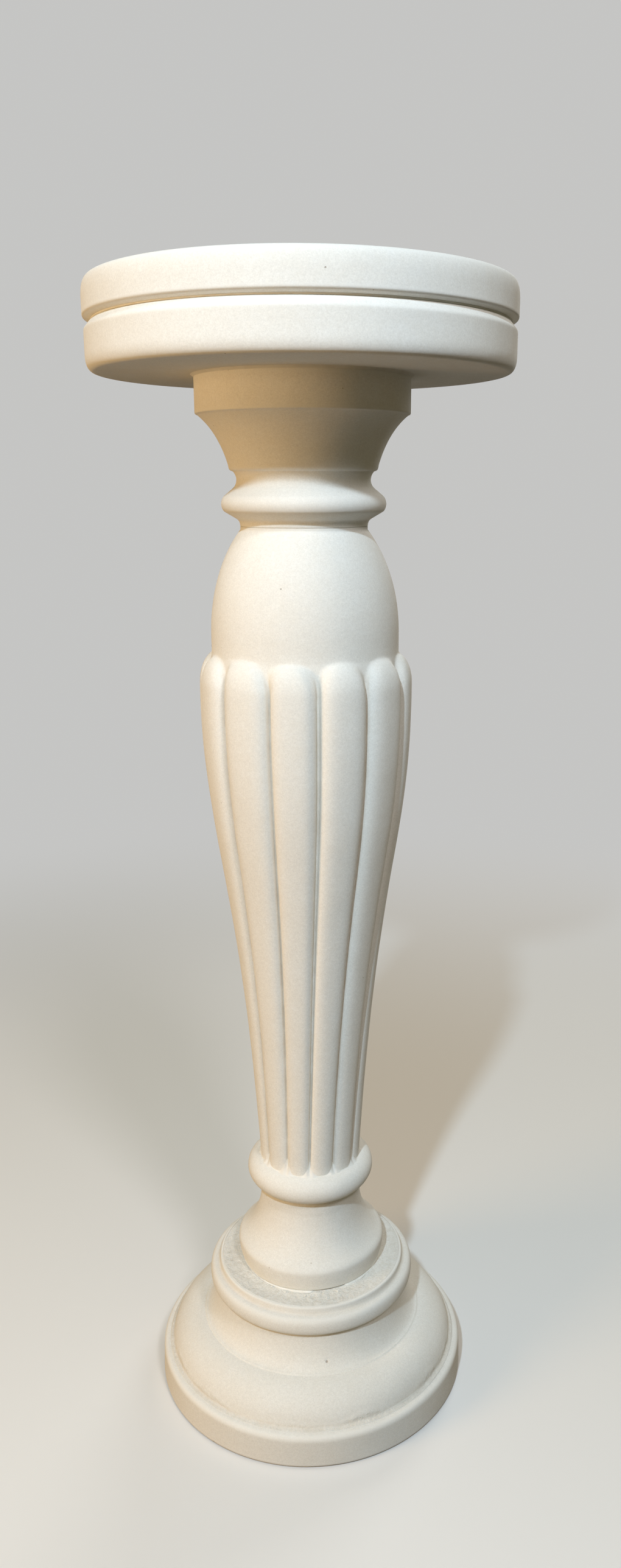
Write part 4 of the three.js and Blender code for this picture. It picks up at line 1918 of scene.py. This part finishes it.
@dataclass
class TieRod:
    """The threaded rod with its plate washers and nuts."""

    rod_turning: Turning = Turning(parts=4, sides=8)
    nut_turning: Turning = Turning(parts=6, sides=10)
    washer_turning: Turning = Turning(parts=6, sides=12)
    radius: float = 6.0
    chamfer: float = 1.0
    thread_pitch: float = 1.75
    thread_depth: float = 0.75
    thread_row: float = 0.25
    thread_end: float = 2.0
    lower_thread: float = 34.0
    upper_thread: float = 22.0
    nut_flats: float = 9.0
    nut_face: float = 8.7
    nut_bore: float = 6.3
    nut_mouth: float = 0.7
    nut_chamfer: float = 1.1
    washer_bore: float = 6.5
    washer_radius: float = 30.0
    washer_edge: float = 0.4

    def thread_rows(self, out: Outline, low: float, high: float, reach: float) -> None:
        """Adds the close rows that a thread is cut into.

        Args:
            out: the rod's outline.
            low: where they start.
            high: where they end.
            reach: the thread's full length.
        """
        rows = math.ceil(reach / self.thread_row)
        for i in range(1, rows + 1):
            out.line(self.radius, mix(low, high, i / rows))

    def rod_outline(self, length: float) -> Outline:
        """Draws the rod, with close rows where its threads are.

        Args:
            length: the rod's length.

        Returns:
            The closed outline.
        """
        end = self.radius - self.chamfer
        out = Outline().start(0, 0).line(end, 0).line(self.radius, self.chamfer)
        self.thread_rows(out, self.chamfer, self.lower_thread, self.lower_thread)
        plain = length - self.upper_thread
        out.line(self.radius, plain, Surface.INSIDE)
        self.thread_rows(out, plain, length - self.chamfer, self.upper_thread)
        return out.line(end, length).line(0, length)

    def cut_thread(self, spot: Spot, length: float) -> None:
        """Winds a thread round both ends of the rod.

        Args:
            spot: the vertex.
            length: the rod's length.
        """
        nearest = min(spot.height, length - spot.height)
        reach = self.lower_thread if spot.height < length / 2 else self.upper_thread
        depth = self.thread_depth * ease(nearest, reach, reach - self.thread_end)
        turns = spot.height / self.thread_pitch - spot.angle / 360
        wave = abs(2 * (turns - math.floor(turns)) - 1)
        if spot.radius > self.radius - 1.5 * self.chamfer:
            spot.radius -= depth * clamp(1.25 * wave - 0.12)

    def nut_outline(self, height: float) -> Outline:
        """Draws a nut's section out to its corners.

        Args:
            height: the nut's height.

        Returns:
            The closed outline.
        """
        corner = self.nut_flats / math.cos(math.pi / 6)
        edge = self.nut_bore + self.nut_mouth
        out = Outline().start(edge, 0).line(self.nut_face, 0)
        out.line(corner, self.nut_chamfer).line(corner, height - self.nut_chamfer)
        out.line(self.nut_face, height).line(edge, height)
        return out.lines(
            Surface.INSIDE,
            (self.nut_bore, height - self.nut_mouth),
            (self.nut_bore, self.nut_mouth),
            (edge, 0),
        )

    def cut_flats(self, spot: Spot) -> None:
        """Cuts six flats on a nut.

        Args:
            spot: the vertex.
        """
        off = (spot.angle % 60) - 30
        spot.radius = min(spot.radius, self.nut_flats / math.cos(math.radians(off)))

    def washer_outline(self, height: float) -> Outline:
        """Draws a plate washer's section.

        Args:
            height: the washer's height.

        Returns:
            The closed outline.
        """
        bore, rim, edge = self.washer_bore, self.washer_radius, self.washer_edge
        out = Outline().start(bore, edge).line(bore + edge, 0, Surface.JOINT)
        out.line(rim - edge, 0, Surface.JOINT).line(rim, edge).line(rim, height - edge)
        out.line(rim - edge, height).line(bore + edge, height, Surface.JOINT)
        return out.lines(Surface.INSIDE, (bore, height - edge), (bore, edge))

    def build(self, finishes: Finishes) -> None:
        """Makes the rod, its washers and its nuts.

        Args:
            finishes: the stand's materials.
        """
        length = height_of("tie_rod")
        shells = {"tie_rod": self.rod_turning.spin(self.rod_outline(length))}
        carve(shells["tie_rod"], lambda spot: self.cut_thread(spot, length))
        for node in ("lower_nut", "lock_nut", "upper_nut"):
            shells[node] = self.nut_turning.spin(self.nut_outline(height_of(node)))
            carve(shells[node], self.cut_flats)
        for node in ("lower_washer", "upper_washer"):
            shells[node] = self.washer_turning.spin(self.washer_outline(height_of(node)))
        for node, shell in shells.items():
            lift(shell, foot_of(node))
            make_piece(shell, node, "plated", finishes.zinc)


@dataclass
class FloorPads:
    """Four felt pads, a little crushed at the floor."""

    turning: Turning = Turning(parts=6, sides=10)
    radius: float = 14.0
    height: float = 4.0
    crush: float = 0.7
    cut_edge: float = 0.3
    fraying: Waves = (Wave(0.12, 9, 13.0),)

    def outline(self) -> Outline:
        """Draws a pad's section.

        Returns:
            The closed outline.
        """
        rim, top, edge = self.radius, self.height, self.cut_edge
        out = Outline().start(0, 0).line(rim - self.crush, 0)
        out.round((rim, 0), (rim, self.crush)).line(rim, top - edge)
        out.round((rim, top), (rim - edge, top))
        return out.line(0, top, Surface.FLAT).mark_bends()

    def fray(self, spot: Spot) -> None:
        """Leaves a pad's cut edge slightly ragged.

        Args:
            spot: the vertex.
        """
        if spot.radius > self.radius - 1:
            rub_down(spot, self.fraying)

    def build(self, finishes: Finishes) -> None:
        """Makes the pads.

        Args:
            finishes: the stand's materials.
        """
        for i in range(1, 5):
            node = f"floor_pad_{i}"
            shell = self.turning.spin(self.outline())
            carve(shell, self.fray)
            low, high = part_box(node)
            centre = ((low[0] + high[0]) / 2, (low[1] + high[1]) / 2, low[2])
            bmesh.ops.translate(shell, verts=shell.verts, vec=centre)
            make_piece(shell, node, "felt", finishes.felt)


@dataclass
class Sleeves:
    """The plastic sleeves, which keep their CAD shape."""

    nodes: tuple[str, ...] = ("foot_sleeve", "shaft_sleeve", "capital_sleeve", "slab_sleeve")

    def dress(self, carried: dict[str, bpy.types.Object], finishes: Finishes) -> None:
        """Gives the sleeves their finish.

        Args:
            carried: the CAD nodes by name.
            finishes: the stand's materials.
        """
        for name in self.nodes:
            sleeve = carried[name]
            for place in sleeve.material_slots:
                place.material = finishes.plastic
            log.info("%s: keeps its CAD shape", name)


# ---- Studio ----


@dataclass(frozen=True)
class Lamp:
    """A round lamp that faces the stand.

    Args:
        name: its name.
        turn: its angle around the stand, in degrees, from the front towards +X.
        rise: its height above the point that it faces, as an angle.
        distance: its distance from that point, in metres.
        width: its width, in metres.
        power: its power, in watts.
        colour: its colour.
        aim: height of the point that it faces, in metres.
    """

    name: str
    turn: float
    rise: float
    distance: float
    width: float
    power: float
    colour: Colour
    aim: float

    def hang(self) -> None:
        """Hangs the lamp and turns it to the stand."""
        data = bpy.data.lights.new(self.name, "AREA")
        data.shape = "DISK"
        data.size = self.width
        data.energy = self.power
        data.color = self.colour
        lamp = put_in_scene(data)
        turn, rise = math.radians(self.turn), math.radians(self.rise)
        level = self.distance * math.cos(rise)
        across, back = level * math.sin(turn), -level * math.cos(turn)
        away = Vector((across, back, self.distance * math.sin(rise)))
        lamp.location = away + Vector((0, 0, self.aim))
        lamp.rotation_euler = (-away).to_track_quat("-Z", "Y").to_euler()


@dataclass
class Studio:
    """A pale floor that fades into a pale surround, and four round lamps."""

    pale: Colour = (0.56, 0.56, 0.55)
    floor_pale: Colour = (0.86, 0.86, 0.85)
    floor_radius: float = 6.0
    floor_bounce: Colour = (0.16, 0.125, 0.085)
    fade: Pair = (0.5, 1.9)
    ambient: Colour = (1.0, 0.87, 0.48)
    ambient_strength: float = 0.155
    lamps: tuple[Lamp, ...] = (
        Lamp("key_lamp", -15, 40, 2.35, 0.11, 35.5, (0.64, 0.82, 0.98), 0.60),
        Lamp("left_lamp", -62, 0, 2.2, 0.9, 25, (1.0, 0.64, 0.31), 0.80),
        Lamp("front_lamp", 22, 42, 2.26, 0.4, 14.5, (1.0, 0.96, 0.98), 0.60),
        Lamp("back_lamp", 152, 20, 3.2, 1.6, 30, (1.0, 0.97, 0.93), 0.50),
    )

    def floor_material(self) -> bpy.types.Material:
        """Makes the floor's finish, which keeps the stand's shadow near it and fades further out.

        Returns:
            The material.
        """
        mix_of = Recipe("studio_floor")
        seen = seen_plainly(mix_of.tree)
        colour = mix_of.blend(seen, self.floor_bounce, self.floor_pale)
        mix_of.finish(Base_Color=colour, Roughness=0.9, Specular_IOR_Level=0.1)
        glow = mix_of.add("ShaderNodeEmission")
        mix_of.feed(glow.inputs["Color"], self.pale)
        mix_of.join(seen, glow.inputs["Strength"])
        split = mix_of.add("ShaderNodeVectorMath", operation="LENGTH")
        mix_of.join(mix_of.place, split.inputs[0])
        share = mix_of.rise(split.outputs["Value"], *self.fade)
        both = mix_of.add("ShaderNodeMixShader")
        mix_of.join(share, both.inputs[0])
        mix_of.join(mix_of.shader.outputs["BSDF"], both.inputs[1])
        mix_of.join(glow.outputs["Emission"], both.inputs[2])
        output = next(n for n in mix_of.tree.nodes if n.type == "OUTPUT_MATERIAL")
        mix_of.join(both.outputs["Shader"], output.inputs["Surface"])
        return mix_of.material

    def lay_floor(self) -> None:
        """Lays the round floor."""
        shell = bmesh.new()
        bmesh.ops.create_circle(shell, cap_ends=True, segments=96, radius=self.floor_radius)
        mesh = mesh_from(shell, "studio_floor")
        mesh.materials.append(self.floor_material())
        put_in_scene(mesh)

    def surround(self) -> None:
        """Fills the world with a weak, warm light that shows as the pale surround."""
        world = bpy.data.worlds.new("studio_surround")
        bpy.context.scene.world = world
        world.use_nodes = True
        tree = world.node_tree
        tree.nodes.clear()
        both = tree.nodes.new("ShaderNodeMixShader")
        tree.links.new(seen_plainly(tree), both.inputs[0])
        glows = ((self.ambient, self.ambient_strength), (self.pale, 1.0))
        for target, (colour, strength) in zip(both.inputs[1:], glows):
            glow = tree.nodes.new("ShaderNodeBackground")
            glow.inputs["Color"].default_value = (*colour, 1)
            glow.inputs["Strength"].default_value = strength
            tree.links.new(glow.outputs[0], target)
        output = tree.nodes.new("ShaderNodeOutputWorld")
        tree.links.new(both.outputs[0], output.inputs["Surface"])

    def build(self) -> None:
        """Sets up floor, surround and lamps, and the plain way colours are shown."""
        self.lay_floor()
        self.surround()
        for lamp in self.lamps:
            lamp.hang()
        bpy.context.scene.view_settings.view_transform = "Standard"
        log.info("studio: %d lamps", len(self.lamps))


@dataclass(frozen=True)
class PhotoCamera:
    """The camera, close to the stand and a little lower than its table, as a phone at chest height."""

    distance: float = 0.9931
    height: float = 0.8462
    yaw: float = 2.25
    pitch: float = 14.47
    lens: float = 26.62
    sensor: float = 36.0
    shift: float = -0.0257

    def stand(self) -> None:
        """Sets up the camera as the scene's own."""
        data = bpy.data.cameras.new("photo_camera")
        data.sensor_fit = "AUTO"
        data.sensor_width = self.sensor
        data.lens = self.lens
        data.shift_x = self.shift
        data.clip_start = 0.01
        camera = put_in_scene(data)
        camera.location = (0, -self.distance, self.height)
        camera.rotation_euler = (math.radians(90 - self.pitch), 0, -math.radians(self.yaw))
        bpy.context.scene.camera = camera


def main() -> None:
    """Loads the CAD frame, and makes and dresses every piece."""
    logging.basicConfig(level=logging.INFO, format="%(relativeCreated)6d ms %(name)s: %(message)s")
    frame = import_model()
    finishes = Finishes.mixed()
    parts = (Base(), Foot(), Shaft(), Capital(), Table(), JointFillers(), TieRod(), FloorPads())
    for part in parts:
        part.build(finishes)
    Sleeves().dress(frame["nodes"], finishes)
    Studio().build()
    PhotoCamera().stand()


if __name__ == "__main__":
    main()
